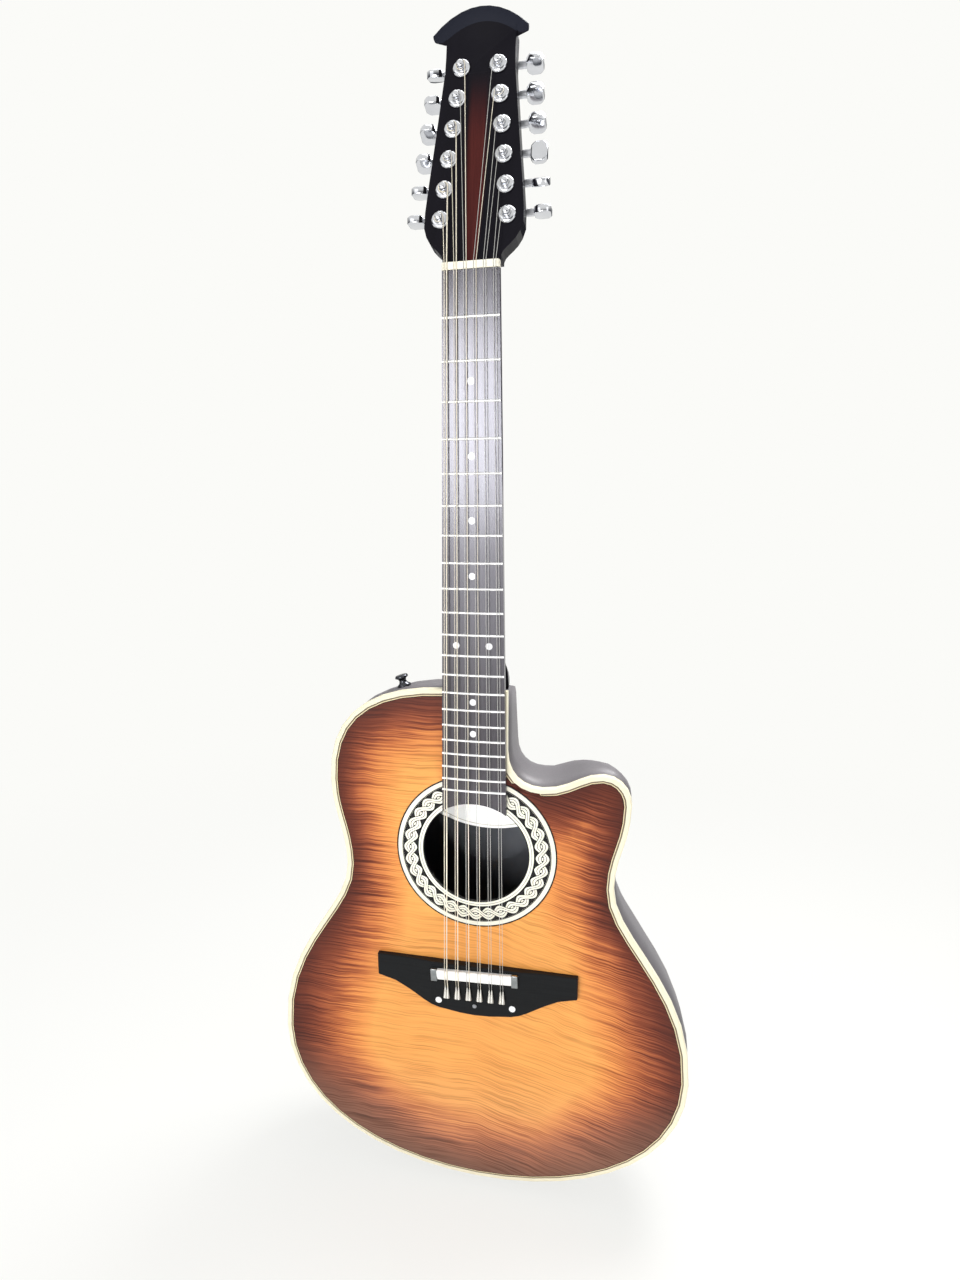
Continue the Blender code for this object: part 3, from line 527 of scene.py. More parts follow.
def make_sunburst():
    material, tree, shader = start_finish("sunburst_lacquer", LACQUER_ROUGHNESS)
    shader.inputs["Specular IOR Level"].default_value = LACQUER_SPECULAR
    rim = add(tree, "Attribute", attribute_name="rim_distance").outputs["Fac"]
    across, deep, along = parts_of(tree, place_of(tree))
    wood = stained_wood(tree, rim, across, along)
    for place, half, colour in INLAY_LINES:
        wood = mix(tree, line_at(tree, rim, place, half), wood, colour)
    x, y, z = parts_of(tree, place_of(tree, centre=HOLE))
    edge = calc(tree, "LESS_THAN", flat_length(tree, x, z), HOLE_RADIUS + HOLE_EDGE)
    feed(tree, shader.inputs["Base Color"], mix(tree, edge, wood, HOLE_EDGE_BROWN))
    print("sunburst:", len(tree.nodes), "nodes")
    return material


dress(soundboard, make_sunburst())

# %% [markdown]
# Light shows every flat facet of a round form. More facets would hide them, but would leave the
# solid's own points. So each round piece is a copy of its solid, merged and shaded smooth where
# two faces meet at a small angle, which keeps its real edges sharp and every point in place.

# %% Smooth copies
ROWS = range(1, 7)
SIDES = ("treble", "bass")
ROUND_METAL = 40
SMOOTHED = {"bowl": ("moulded_bowl", 50), "neck": ("lacquered_neck", 22),
            "binding": ("cream_binding", 28), "bridge": ("ebony_bridge", 14), "nut": ("bone_nut", 28)}
BUTTONS = {"strap_button": "shoulder_button", "end_button": "tail_button"}


def make_smooth_copy(node, name, degrees, body):
    piece = copy_of_node(node, name)
    smooth(piece, degrees)
    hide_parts(node)
    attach(piece, body)
    return piece


smooth_pieces = {node: make_smooth_copy(node, name, degrees, "guitar")
                 for node, (name, degrees) in SMOOTHED.items()}
buttons = [make_smooth_copy(node, name, ROUND_METAL, "guitar")
           for node, name in BUTTONS.items()]
tuner_metal = []
for side in SIDES:
    for row in ROWS:
        tuner, post = "tuner_%s_%d" % (side, row), "post_%s_%d" % (side, row)
        tuner_metal.append(make_smooth_copy(tuner, tuner + "_housing", ROUND_METAL, "guitar"))
        tuner_metal.append(make_smooth_copy(post, post + "_turned", ROUND_METAL, post))
print("smooth copies:", len(smooth_pieces) + len(buttons) + len(tuner_metal))

# %% [markdown]
# The rosette is a printed and lacquered ring: pale rings with black lines, and between them a
# band of ornament. It could be an image, but arithmetic on the angle and the radius stays sharp
# at any size. The band is a two-strand guilloche, an ornament as old as mosaic floors: two waves
# run round the ring, a half turn apart, and each crosses over the other in turn.

# %% Rosette band
MIDDLE_RADIUS = 0.0647
STRAND_SWING = 0.0040
STRAND_WAVES = 16
STRAND_HALF = 0.0033
STRAND_EDGE = 0.0009
STRAND_VEIN = 0.0003
BEAD_HALF = 0.0008
BEAD_AT_CREST = 0.93


def strand_distance(tree, radius, wave, side):
    swing = times(tree, wave, side * STRAND_SWING)
    off = calc(tree, "SUBTRACT", calc(tree, "SUBTRACT", radius, MIDDLE_RADIUS), swing)
    return calc(tree, "ABSOLUTE", off)


def pale_strand(tree, distance):
    return times(tree, calc(tree, "LESS_THAN", distance, STRAND_HALF - STRAND_EDGE),
                 calc(tree, "GREATER_THAN", distance, STRAND_VEIN))


def make_guilloche(tree, radius, angle):
    turn = times(tree, angle, float(STRAND_WAVES))
    wave = calc(tree, "COSINE", turn)
    first = strand_distance(tree, radius, wave, 1)
    second = strand_distance(tree, radius, wave, -1)
    first_over = calc(tree, "GREATER_THAN", calc(tree, "SINE", turn), 0.0)
    over = calc(tree, "ADD", times(tree, first, first_over),
                times(tree, second, rest_of(tree, first_over)))
    under = calc(tree, "SUBTRACT", calc(tree, "ADD", first, second), over)
    under_seen = times(tree, pale_strand(tree, under), calc(tree, "GREATER_THAN", over, STRAND_HALF))
    strands = calc(tree, "MAXIMUM", pale_strand(tree, over), under_seen)
    bead = times(tree, line_at(tree, radius, MIDDLE_RADIUS, BEAD_HALF),
                 calc(tree, "GREATER_THAN", calc(tree, "ABSOLUTE", wave), BEAD_AT_CREST))
    return calc(tree, "MAXIMUM", strands, bead)


# %% [markdown]
# Around the band lie the rings. They are pale, so the black lines are taken out of the pale part
# one by one, and a slow mottle keeps the cream from looking like one flat colour.

# %% Rosette finish
BAND_INSIDE = 0.0572
BAND_OUTSIDE = 0.0722
RING_LINES = ((0.0516, 0.0007), (0.0569, 0.0004), (0.0727, 0.0004), (0.0780, 0.0008))
GREY_LINE = (0.0546, 0.0004)
RING_BLACK = tint(18, 17, 17)
RING_GREY = tint(150, 148, 140)
RING_CREAM = (tint(236, 234, 220), tint(222, 218, 200))


def make_rosette_finish():
    material, tree, shader = start_finish("rosette_ring", 0.25)
    shader.inputs["Specular IOR Level"].default_value = 0.3
    across, deep, along = parts_of(tree, place_of(tree, centre=HOLE))
    radius = flat_length(tree, across, along)
    ornament = make_guilloche(tree, radius, calc(tree, "ARCTAN2", across, along))
    ground = times(tree, calc(tree, "GREATER_THAN", radius, BAND_INSIDE),
                   calc(tree, "LESS_THAN", radius, BAND_OUTSIDE), rest_of(tree, ornament))
    lines = [line_at(tree, radius, place, half) for place, half in RING_LINES]
    pale = times(tree, *(rest_of(tree, black) for black in [ground, *lines]))
    cream = mix(tree, noise(tree, even_place(tree, 300.0)), *RING_CREAM)
    cream = mix(tree, line_at(tree, radius, *GREY_LINE), cream, RING_GREY)
    feed(tree, shader.inputs["Base Color"], mix(tree, pale, RING_BLACK, cream))
    print("rosette:", STRAND_WAVES, "waves,", len(RING_LINES), "black rings")
    return material


dress(nodes["rosette"], make_rosette_finish())

# %% [markdown]
# Binding, nut and saddle are cream plastic and bone. One colour would look like paint, so each
# is a slow mottle of two near colours, more yellow for the binding and almost white for the
# saddle.

# %% Cream and bone
def make_cream(name, light, dark, roughness):
    material, tree, shader = start_finish(name, roughness)
    mottle = noise(tree, even_place(tree, 60.0), 4.0)
    feed(tree, shader.inputs["Base Color"], mix(tree, mottle, dark, light))
    return material


dress(smooth_pieces["binding"],
      make_cream("binding_cream", tint(240, 234, 208), tint(228, 218, 188), 0.30))
dress(smooth_pieces["nut"], make_cream("nut_bone", tint(244, 240, 224), tint(232, 226, 204), 0.35))
dress(nodes["saddle"], make_cream("saddle_bone", tint(255, 255, 252), tint(247, 247, 243), 0.30))
print("cream and bone: binding, nut and saddle")

# %% [markdown]
# The bowl is a dark composite, moulded with a fine pebbled skin. Its inside shows through the
# soundhole. There painted shade makes it darker, with painted light on the treble side. The
# bowl is one shell, so which side a point is on is told by whether its normal points away from
# the middle of the body.

# %% Bowl finish
BODY_MIDDLE = (0.0, 0.0, 0.30)
BOWL_GREYS = (tint(112, 109, 112), tint(130, 126, 129))
BOWL_PIT = tint(92, 89, 92)
# Painted shade for the inside of the bowl, with painted light towards the treble side.
INSIDE_SHADE_GREYS = (tint(48, 51, 55), tint(98, 101, 108))
INSIDE_SHADE_DARK = tint(40, 43, 47)
INSIDE_LIGHT_FADE = (-0.05, 0.06)
PEBBLE_SCALE = 900.0
PEBBLE_DEPTH = 0.0003


def bump(tree, shader, height, distance, strength):
    node = add(tree, "Bump", {"Height": height, "Distance": distance, "Strength": strength})
    feed(tree, shader.inputs["Normal"], node.outputs["Normal"])


def inner_side(tree):
    facing = add(tree, "TexCoord").outputs["Normal"]
    outward = add(tree, "VectorMath", {0: facing, 1: place_of(tree, centre=BODY_MIDDLE)},
                  operation="DOT_PRODUCT")
    return calc(tree, "LESS_THAN", outward.outputs["Value"], 0.0)


def make_bowl_finish():
    material, tree, shader = start_finish("moulded_bowl", 0.48)
    pebbles = noise(tree, even_place(tree, PEBBLE_SCALE), 2.0)
    broad = noise(tree, even_place(tree, 20.0))
    skin = mix(tree, pebbles, mix(tree, broad, *BOWL_GREYS), BOWL_PIT)
    across, deep, along = parts_of(tree, place_of(tree))
    # Inside the bowl the colour is painted shade, lighter towards the treble side as painted light.
    painted_inside_shade = mix(tree, fade(tree, across, *INSIDE_LIGHT_FADE), *INSIDE_SHADE_GREYS)
    painted_inside_shade = mix(tree, broad, painted_inside_shade, INSIDE_SHADE_DARK)
    feed(tree, shader.inputs["Base Color"], mix(tree, inner_side(tree), skin, painted_inside_shade))
    bump(tree, shader, pebbles, PEBBLE_DEPTH, 0.5)
    return material


dress(smooth_pieces["bowl"], make_bowl_finish())
print("bowl finish: pebbles", PEBBLE_DEPTH * 1000, "mm deep")

# %% [markdown]
# Neck and headstock are black lacquer. Up the middle of the headstock's face runs a red-brown
# stripe that widens and then fades, and its top ends in a carved crest with a duller skin. The
# crest is painted a lighter blue-grey, which is painted light where its brim catches the light.
# The headstock leans back, so the finish first turns the place into height over the face and
# distance up the face, and draws stripe and crest in those.

# %% Neck lacquer
HEAD_TILT = math.radians(14.0)
HEAD_FACE_Y = -0.0440
FACE_TOLERANCE = 0.0006
ABOVE_NUT = 0.002
STRIPE_HALF_LOW = 0.0042
STRIPE_GROWTH = 0.0034
STRIPE_WIDENS = (0.0, 0.070)
STRIPE_SOFT_EDGE = (1.25, 0.62)
STRIPE_FADE = (0.160, 0.100)
STRIPE_REDS = (tint(56, 20, 20), tint(86, 36, 32))
NECK_BLACKS = (tint(11, 10, 16), tint(20, 18, 26))
CREST_START = 0.1968
CREST_ARCH = 13.9
# The crest's lighter blue-grey is painted light on the brim.
CREST_PAINTED_LIGHT = tint(33, 35, 45)
NECK_ROUGHNESS = 0.22
CREST_ROUGHNESS = 0.64
DULL_FROM = (0.150, 0.178)


def headstock_places(tree):
    across, deep, along = parts_of(tree, place_of(tree, centre=(0.0, HEAD_FACE_Y, NUT_Z)))
    over = calc(tree, "SUBTRACT", times(tree, along, math.sin(HEAD_TILT)),
                times(tree, deep, math.cos(HEAD_TILT)))
    up = calc(tree, "ADD", times(tree, along, math.cos(HEAD_TILT)),
              times(tree, deep, math.sin(HEAD_TILT)))
    return across, over, up


def stripe_share(tree, across, up):
    wide = calc(tree, "MULTIPLY_ADD", fade(tree, up, *STRIPE_WIDENS), STRIPE_GROWTH, STRIPE_HALF_LOW)
    side = calc(tree, "DIVIDE", calc(tree, "ABSOLUTE", across), wide)
    return times(tree, fade(tree, side, *STRIPE_SOFT_EDGE), fade(tree, up, *STRIPE_FADE))


def make_neck_finish():
    material, tree, shader = start_finish("neck_lacquer", NECK_ROUGHNESS)
    shader.inputs["Specular IOR Level"].default_value = 0.10
    across, over, up = headstock_places(tree)
    on_face = times(tree, calc(tree, "GREATER_THAN", over, -FACE_TOLERANCE),
                    calc(tree, "GREATER_THAN", up, ABOVE_NUT))
    red_wood = mix(tree, noise(tree, place_of(tree, scale=(420.0, 60.0, 9.0))), *STRIPE_REDS)
    black = mix(tree, noise(tree, place_of(tree, scale=(80.0, 80.0, 20.0))), *NECK_BLACKS)
    arch = calc(tree, "MULTIPLY_ADD", times(tree, across, across), CREST_ARCH, up)
    crest = times(tree, calc(tree, "GREATER_THAN", arch, CREST_START), on_face)
    # Above the arch the face gets the painted light of the crest's brim.
    face = mix(tree, crest, mix(tree, stripe_share(tree, across, up), black, red_wood), CREST_PAINTED_LIGHT)
    feed(tree, shader.inputs["Base Color"], mix(tree, on_face, black, face))
    dullness = calc(tree, "MULTIPLY_ADD", fade(tree, up, *DULL_FROM), CREST_ROUGHNESS - NECK_ROUGHNESS,
                    NECK_ROUGHNESS)
    feed(tree, shader.inputs["Roughness"], dullness)
    return material


dress(smooth_pieces["neck"], make_neck_finish())
print("neck lacquer: crest from", CREST_START, "m up the face")

# %% [markdown]
# The bridge is ebony: nearly black and dull, with long fine grain across the guitar. The grain is
# a noise that is stretched along it, and a bump shades it as a tenth of a millimetre deep.

# %% Bridge ebony
EBONY_BLACKS = (tint(10, 11, 13), tint(24, 26, 28))
GRAIN_DEPTH = 0.0001


def make_ebony():
    material, tree, shader = start_finish("bridge_ebony", 0.45)
    shader.inputs["Specular IOR Level"].default_value = 0.15
    grain = noise(tree, place_of(tree, scale=(14.0, 300.0, 500.0)), 4.0)
    feed(tree, shader.inputs["Base Color"], mix(tree, grain, *EBONY_BLACKS))
    bump(tree, shader, grain, GRAIN_DEPTH, 0.3)
    return material


dress(smooth_pieces["bridge"], make_ebony())
print("bridge dressed:", smooth_pieces["bridge"].name)

# %% [markdown]
# Tuners, posts and knobs are chromed, and the two strap buttons are darker. Thin strings are
# plain steel and thick ones are wound with bronze. A perfect mirror looks unreal, so wear, a
# noise, changes colour and roughness a little, and the windings are a fine wave along the string.

# %% Metal finishes
WOUND_STRINGS = (1, 2, 3, 4, 6, 8)
WINDING_SCALE = 900.0


def make_metal(name, light, dark, roughness, grain, metallic=1.0):
    material, tree, shader = start_finish(name, roughness, metallic)
    wear = noise(tree, even_place(tree, grain))
    feed(tree, shader.inputs["Base Color"], mix(tree, wear, light, dark))
    feed(tree, shader.inputs["Roughness"],
         calc(tree, "MULTIPLY_ADD", wear, roughness, roughness / 2))
    return material


def make_winding():
    material, tree, shader = start_finish("bronze_winding", 0.38, 0.25)
    turns = add(tree, "TexWave", {"Vector": place_of(tree), "Scale": WINDING_SCALE},
                bands_direction="Z")
    height = turns.outputs["Fac"]
    feed(tree, shader.inputs["Base Color"],
         mix(tree, height, tint(214, 202, 178), tint(250, 244, 226)))
    bump(tree, shader, height, 0.0001, 0.5)
    return material


chrome = make_metal("polished_chrome", tint(222, 223, 227), tint(200, 202, 207), 0.12, 90.0)
steel = make_metal("string_steel", tint(206, 205, 200), tint(180, 179, 175), 0.34, 400.0, 0.45)
winding = make_winding()
shaft_nickel = make_metal("shaft_nickel", tint(226, 227, 230), tint(204, 206, 210), 0.36, 200.0, 0.35)
dark_chrome = make_metal("dark_chrome", tint(84, 85, 90), tint(52, 53, 58), 0.14, 120.0)
for piece in tuner_metal:
    dress(piece, chrome)
for piece in buttons:
    dress(piece, dark_chrome)
print("chromed pieces:", len(tuner_metal), "dark ones:", len(buttons))

# %% [markdown]
# A new piece starts as a block or a rod, made at its size and place. What can't be extruded or
# bevelled is cut: one piece is taken from another, or only what both share is kept, by a Boolean
# modifier that is applied at once.

# %% Blocks, rods and cuts
def apply_modifier(item, kind, **settings):
    pick_only(item)
    modifier = item.modifiers.new(kind.lower(), kind)
    for setting, value in settings.items():
        setattr(modifier, setting, value)
    bpy.ops.object.modifier_apply(modifier=modifier.name)


def cut_with(item, tool, operation):
    apply_modifier(item, "BOOLEAN", object=tool, operation=operation, solver="EXACT")
    bpy.data.objects.remove(tool, do_unlink=True)


def add_block(low, high):
    middle = [(a + b) / 2 for a, b in zip(low, high)]
    bpy.ops.object.select_all(action="DESELECT")
    bpy.ops.mesh.primitive_cube_add(size=1.0, location=middle)
    block = bpy.context.object
    block.scale = [b - a for a, b in zip(low, high)]
    bpy.ops.object.transform_apply(location=True, rotation=True, scale=True)
    return block


def add_rod(radius, length, place, axis, sides):
    bpy.ops.object.select_all(action="DESELECT")
    turn = (math.pi / 2, 0.0, 0.0) if axis == "Y" else (0.0, 0.0, 0.0)
    bpy.ops.mesh.primitive_cylinder_add(radius=radius, depth=length, vertices=sides,
                                        location=place, rotation=turn)
    rod = bpy.context.object
    bpy.ops.object.transform_apply(location=True, rotation=True, scale=True)
    return rod


# %% [markdown]
# The fingerboard's solid holds wood and frets as one, but they have different finishes, so each
# is made as a piece of its own. The wood is a tapered block whose face is trimmed by a large
# cylinder, which gives the crown that a player's fingers expect, and its end is cut round, so it
# stops at the soundhole.

# %% Fingerboard wood
SCALE_LENGTH = 0.64135
NUT_WIDTH = 0.0476
WIDTH_AT_TWELFTH = 0.057
FRET_HEIGHT = 0.0011
CROWN_RADIUS = 0.300
CROWN_TOOL = (0.8, 720)
END_RADIUS = 0.0530
END_TOOL = (0.1, 128)
board_low, board_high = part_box("fingerboard")
WOOD_TOP = board_low.y + FRET_HEIGHT


def fret_distance(number):
    return SCALE_LENGTH * (1 - 2 ** (-number / 12))


def board_half_width(z):
    growth = (WIDTH_AT_TWELFTH - NUT_WIDTH) / fret_distance(12)
    return (NUT_WIDTH + growth * (NUT_Z - z)) / 2


def crown_tool(lift):
    length, sides = CROWN_TOOL
    middle = (board_low.z + board_high.z) / 2
    return add_rod(CROWN_RADIUS + lift, length, (0.0, WOOD_TOP + CROWN_RADIUS, middle), "Z", sides)


def make_board():
    wide = board_half_width(board_low.z)
    board = add_block((-wide, WOOD_TOP, board_low.z), (wide, board_high.y, board_high.z))
    top = board_high.z
    pick_faces(board, lambda face: face.normal.z > 0.9)
    shrink = board_half_width(top) / wide
    bpy.ops.transform.resize(value=(shrink, 1.0, 1.0), center_override=(0.0, 0.0, top))
    bpy.ops.object.mode_set(mode="OBJECT")
    cut_with(board, crown_tool(0.0), "INTERSECT")
    length, sides = END_TOOL
    cut_with(board, add_rod(END_RADIUS, length, (HOLE.x, WOOD_TOP, HOLE.z), "Y", sides), "DIFFERENCE")
    settle(board, "fingerboard_wood")
    smooth(board, 20)
    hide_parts("fingerboard")
    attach(board, "guitar")
    print("board in mm:", round(2000 * board_half_width(top), 1), "to", round(2000 * wide, 1), "wide")
    return board


board = make_board()

# %% [markdown]
# A fret is a wire with a round top that follows the board's crown. A bent box would look square
# in the light, so an oval outline is spun about the crown's own axis: it is turned to one edge of
# the board, swept to the other edge, merged and closed at its ends. Each fret leaves the string
# shorter than the last one does by the twelfth root of two, so they stand ever closer.

# %% Fret wires
FRET_COUNT = 21
FRET_WIDTH = 0.0022
FRET_INSET = 0.0002
FRET_SIDES = 14
FRET_STEPS = 10
FRET_MERGE = 0.000001


def add_oval(place):
    bpy.ops.object.select_all(action="DESELECT")
    bpy.ops.mesh.primitive_circle_add(vertices=FRET_SIDES, radius=1.0, fill_type="NOTHING",
                                      rotation=(0.0, math.pi / 2, 0.0))
    oval = bpy.context.object
    bpy.ops.object.transform_apply(location=False, rotation=True, scale=False)
    oval.scale = (1.0, FRET_HEIGHT, FRET_WIDTH / 2)
    oval.location = place
    bpy.ops.object.transform_apply(location=True, rotation=True, scale=True)
    return oval


def add_fret(number):
    z = NUT_Z - fret_distance(number)
    sweep = math.asin((board_half_width(z) - FRET_INSET) / CROWN_RADIUS)
    middle = Vector((0.0, WOOD_TOP + CROWN_RADIUS, z))
    wire = add_oval(middle - Vector((0.0, CROWN_RADIUS, 0.0)))
    bpy.ops.object.mode_set(mode="EDIT")
    bpy.ops.mesh.select_all(action="SELECT")
    bpy.ops.transform.rotate(value=-sweep, orient_axis="Z", center_override=middle)
    bpy.ops.mesh.spin(steps=FRET_STEPS, angle=2 * sweep, center=middle, axis=(0.0, 0.0, 1.0))
    bpy.ops.mesh.select_all(action="SELECT")
    bpy.ops.mesh.remove_doubles(threshold=FRET_MERGE)
    bpy.ops.mesh.fill_holes(sides=0)
    bpy.ops.mesh.select_all(action="SELECT")
    bpy.ops.mesh.normals_make_consistent(inside=False)
    bpy.ops.object.mode_set(mode="OBJECT")
    return wire


def join_pieces(pieces, name):
    pick_only(pieces[0])
    for piece in pieces:
        piece.select_set(True)
    bpy.ops.object.join()
    return settle(pieces[0], name)


def make_frets():
    frets = join_pieces([add_fret(number) for number in range(1, FRET_COUNT + 1)], "fret_wires")
    smooth(frets, 50)
    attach(frets, "guitar")
    reach = [vertex.co.x for vertex in frets.data.vertices]
    print("frets:", FRET_COUNT, "from x", round(min(reach), 4), "to", round(max(reach), 4))
    return frets


frets = make_frets()

# %% [markdown]
# Pearl dots between the frets tell the player where the hand is, one at most places and two at
# the octave. A flat disc would stick out of the crowned wood, so short rods are trimmed by the
# same cylinder as the board, a tenth of a millimetre larger.

# %% Position dots
DOT_FRETS = (3, 5, 7, 9, 12, 15, 17)
OCTAVE_FRET = 12
DOT_RADIUS = 0.0031
DOT_LENGTH = 0.004
DOT_PAIR_SPREAD = 0.0150
DOT_LIFT = 0.0001
DOT_SIDES = 32


def make_dots():
    dots = []
    for number in DOT_FRETS:
        z = NUT_Z - (fret_distance(number - 1) + fret_distance(number)) / 2
        spread = (-DOT_PAIR_SPREAD, DOT_PAIR_SPREAD) if number == OCTAVE_FRET else (0.0,)
        for x in spread:
            dots.append(add_rod(DOT_RADIUS, DOT_LENGTH, (x, WOOD_TOP, z), "Y", DOT_SIDES))
    plate = join_pieces(dots, "position_dots")
    cut_with(plate, crown_tool(DOT_LIFT), "INTERSECT")
    smooth(plate, 30)
    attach(plate, "guitar")
    print("position dots:", len(dots))
    return plate


dots = make_dots()

# %% [markdown]
# Fingerboard wood is dark and oily with long fine pores, so it mirrors light only where light
# meets it squarely. Streaks run along the neck and change its roughness, and the pores sink into
# it. The fret wire is bright, and the dots are pearl.

# %% Fingerboard finishes
BOARD_STREAK_ROUGHNESS = 0.14
BOARD_SHEEN_TINT = (0.90, 0.90, 1.0, 1.0)
BOARD_BROWNS = (tint(34, 31, 34), tint(68, 62, 66))
PORE_BROWN = tint(28, 22, 22)
PORE_FADE = (0.55, 0.75)


def make_board_finish():
    material, tree, shader = start_finish("fingerboard_wood", 0.22)
    shader.inputs["Specular IOR Level"].default_value = 1.0
    shader.inputs["Specular Tint"].default_value = BOARD_SHEEN_TINT
    streaks = noise(tree, place_of(tree, scale=(520.0, 200.0, 7.0)), 4.0, 0.6)
    pores = noise(tree, place_of(tree, scale=(1800.0, 900.0, 90.0)), 2.0)
    wood = mix(tree, streaks, *BOARD_BROWNS)
    feed(tree, shader.inputs["Base Color"], mix(tree, fade(tree, pores, *PORE_FADE), wood, PORE_BROWN))
    feed(tree, shader.inputs["Roughness"],
         calc(tree, "MULTIPLY_ADD", streaks, BOARD_STREAK_ROUGHNESS, BOARD_STREAK_ROUGHNESS))
    bump(tree, shader, pores, 0.0001, 0.3)
    return material


dress(board, make_board_finish())
dress(frets, make_metal("fret_wire", tint(246, 246, 245), tint(228, 228, 229), 0.22, 120.0, 0.4))
dress(dots, make_cream("dot_pearl", tint(250, 250, 250), tint(226, 226, 232), 0.18))
print("fingerboard finishes: wood, fret wire and pearl")

# %% [markdown]
# The strings are the solids themselves with one change: each string's foot is drawn up to where
# its wrapped end sits on the bridge, on a line that slants with the saddle. Only the points at
# the foot are moved, so every string keeps its route over saddle and nut to its post.

# %% String wires
STRING_COUNT = 12
FOOT_Z = 0.2346
FOOT_SLANT = 0.030
FOOT_DEPTH = 0.0010


def make_wire(number):
    node = "string_%02d" % number
    wire = copy_of_node(node, "wire_%02d" % number)
    low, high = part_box(node)
    ends = [vertex for vertex in wire.data.vertices if vertex.co.z < low.z + FOOT_DEPTH]
    middle = sum(vertex.co.x for vertex in ends) / len(ends)
    for vertex in ends:
        vertex.co.z += FOOT_Z + FOOT_SLANT * middle - low.z
    smooth(wire, 50)
    dress(wire, winding if number in WOUND_STRINGS else steel)
    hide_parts(node)
    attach(wire, "guitar")
    return wire


wires = [make_wire(number) for number in range(1, STRING_COUNT + 1)]
print("string wires:", len(wires), "of which wound:", len(WOUND_STRINGS))

# %% [markdown]
# A knob's button is a small chromed block that is held between thumb and finger. A stretched
# cube is bevelled twice: its four long corners are cut off, which leaves eight sides, and then
# every edge is broken finely, because a sharp edge catches no light.

# %% Knob button
KNOB_LENGTH = 0.0138
KNOB_HEIGHT = 0.0162
KNOB_THICKNESS = 0.0064
KNOB_CORNER = 0.0036
KNOB_EDGE = 0.0011
HEAD_LEAN = 76.0


def pick_long_corners(button):
    bpy.ops.object.mode_set(mode="EDIT")
    bpy.ops.mesh.select_mode(type="EDGE")
    bpy.ops.mesh.select_all(action="DESELECT")
    bpy.ops.object.mode_set(mode="OBJECT")
    corners = button.data.vertices
    for edge in button.data.edges:
        start, end = (corners[index].co.z for index in edge.vertices)
        edge.select = abs(start - end) > KNOB_THICKNESS / 2
    bpy.ops.object.mode_set(mode="EDIT")


def add_button(place, turn):
    half = (KNOB_LENGTH / 2, KNOB_HEIGHT / 2, KNOB_THICKNESS / 2)
    button = add_block([-value for value in half], half)
    pick_long_corners(button)
    bpy.ops.mesh.bevel(offset=KNOB_CORNER, segments=2, profile=0.35)
    bpy.ops.object.mode_set(mode="OBJECT")
    apply_modifier(button, "BEVEL", width=KNOB_EDGE, segments=3, limit_method="ANGLE",
                   angle_limit=math.radians(50))
    button.rotation_euler = (math.radians(HEAD_LEAN + turn), 0.0, 0.0)
    button.location = place
    bpy.ops.object.transform_apply(location=True, rotation=True, scale=False)
    return button


# %% [markdown]
# Each knob keeps its solid's worm shaft, cut off inside the button, and rides its own body, so
# it turns with its joint. A player leaves the knobs at any angle, and each button is turned to
# the angle, in degrees, that it has in the photograph, from the nut's row to the top row.

# %% Tuner knobs
SHAFT_SHARE = 0.93
KNOB_TURNS = {"treble": (96.0, 120.0, 0.0, 70.0, 68.0, 75.0),
              "bass": (96.0, 99.0, 73.0, 72.0, 85.0, 109.0)}


def make_shaft(node, tip, outward):
    shaft = copy_of_node(node, node + "_shaft")
    pick_faces(shaft, lambda face: True)
    bpy.ops.mesh.bisect(plane_co=(tip - outward * KNOB_LENGTH * SHAFT_SHARE, 0.0, 0.0),
                        plane_no=(outward, 0.0, 0.0), clear_outer=True, use_fill=True)
    bpy.ops.object.mode_set(mode="OBJECT")
    dress(shaft, shaft_nickel)
    return shaft


def make_knob(side, row, turn):
    node = "knob_%s_%d" % (side, row)
    outward = 1 if side == "treble" else -1
    low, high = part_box(node)
    tip = high.x if outward > 0 else low.x
    place = (tip - outward * KNOB_LENGTH / 2, (low.y + high.y) / 2, (low.z + high.z) / 2)
    shaft = make_shaft(node, tip, outward)
    button = add_button(place, turn)
    dress(button, chrome)
    knob = join_pieces([shaft, button], node + "_button")
    smooth(knob, ROUND_METAL)
    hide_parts(node)
    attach(knob, node)


for side, turns in KNOB_TURNS.items():
    for row, turn in zip(ROWS, turns):
        make_knob(side, row, turn)
print("knobs:", len(KNOB_TURNS) * len(ROWS))

# %% [markdown]
# The saddle sits in a silver channel whose two ends show on the bridge. Each end is a small
# block, turned about its middle by the saddle's own slant, and a bevel rounds its edges.

# %% Saddle channel
saddle_low, saddle_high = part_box("saddle")
BRIDGE_FACE_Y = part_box("bridge")[0].y
SADDLE_TURN = -math.atan2(0.0036, 0.082)
CAP_LENGTH = 0.0064
CAP_HALF_WIDTH = 0.0066
CAP_OVERHANG = 0.0028
CAP_LIFT = 0.0003
CAP_SEAT = 0.0010


def add_cap(side):
    middle = (saddle_low + saddle_high) / 2
    x = side * (saddle_high.x + CAP_OVERHANG - CAP_LENGTH / 2)
    z = middle.z - x * math.tan(SADDLE_TURN)
    cap = add_block((x - CAP_LENGTH / 2, saddle_low.y - CAP_LIFT, z - CAP_HALF_WIDTH),
                    (x + CAP_LENGTH / 2, BRIDGE_FACE_Y + CAP_SEAT, z + CAP_HALF_WIDTH))
    pick_faces(cap, lambda face: True)
    bpy.ops.transform.rotate(value=-SADDLE_TURN, orient_axis="Y", center_override=(x, saddle_low.y, z))
    bpy.ops.object.mode_set(mode="OBJECT")
    return cap


def make_channel():
    channel = join_pieces([add_cap(side) for side in (-1, 1)], "saddle_channel")
    apply_modifier(channel, "BEVEL", width=0.0007, segments=3)
    smooth(channel, ROUND_METAL)
    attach(channel, "guitar")
    print("channel ends:", CAP_LENGTH * 1000, "mm long")
    return channel


channel = make_channel()

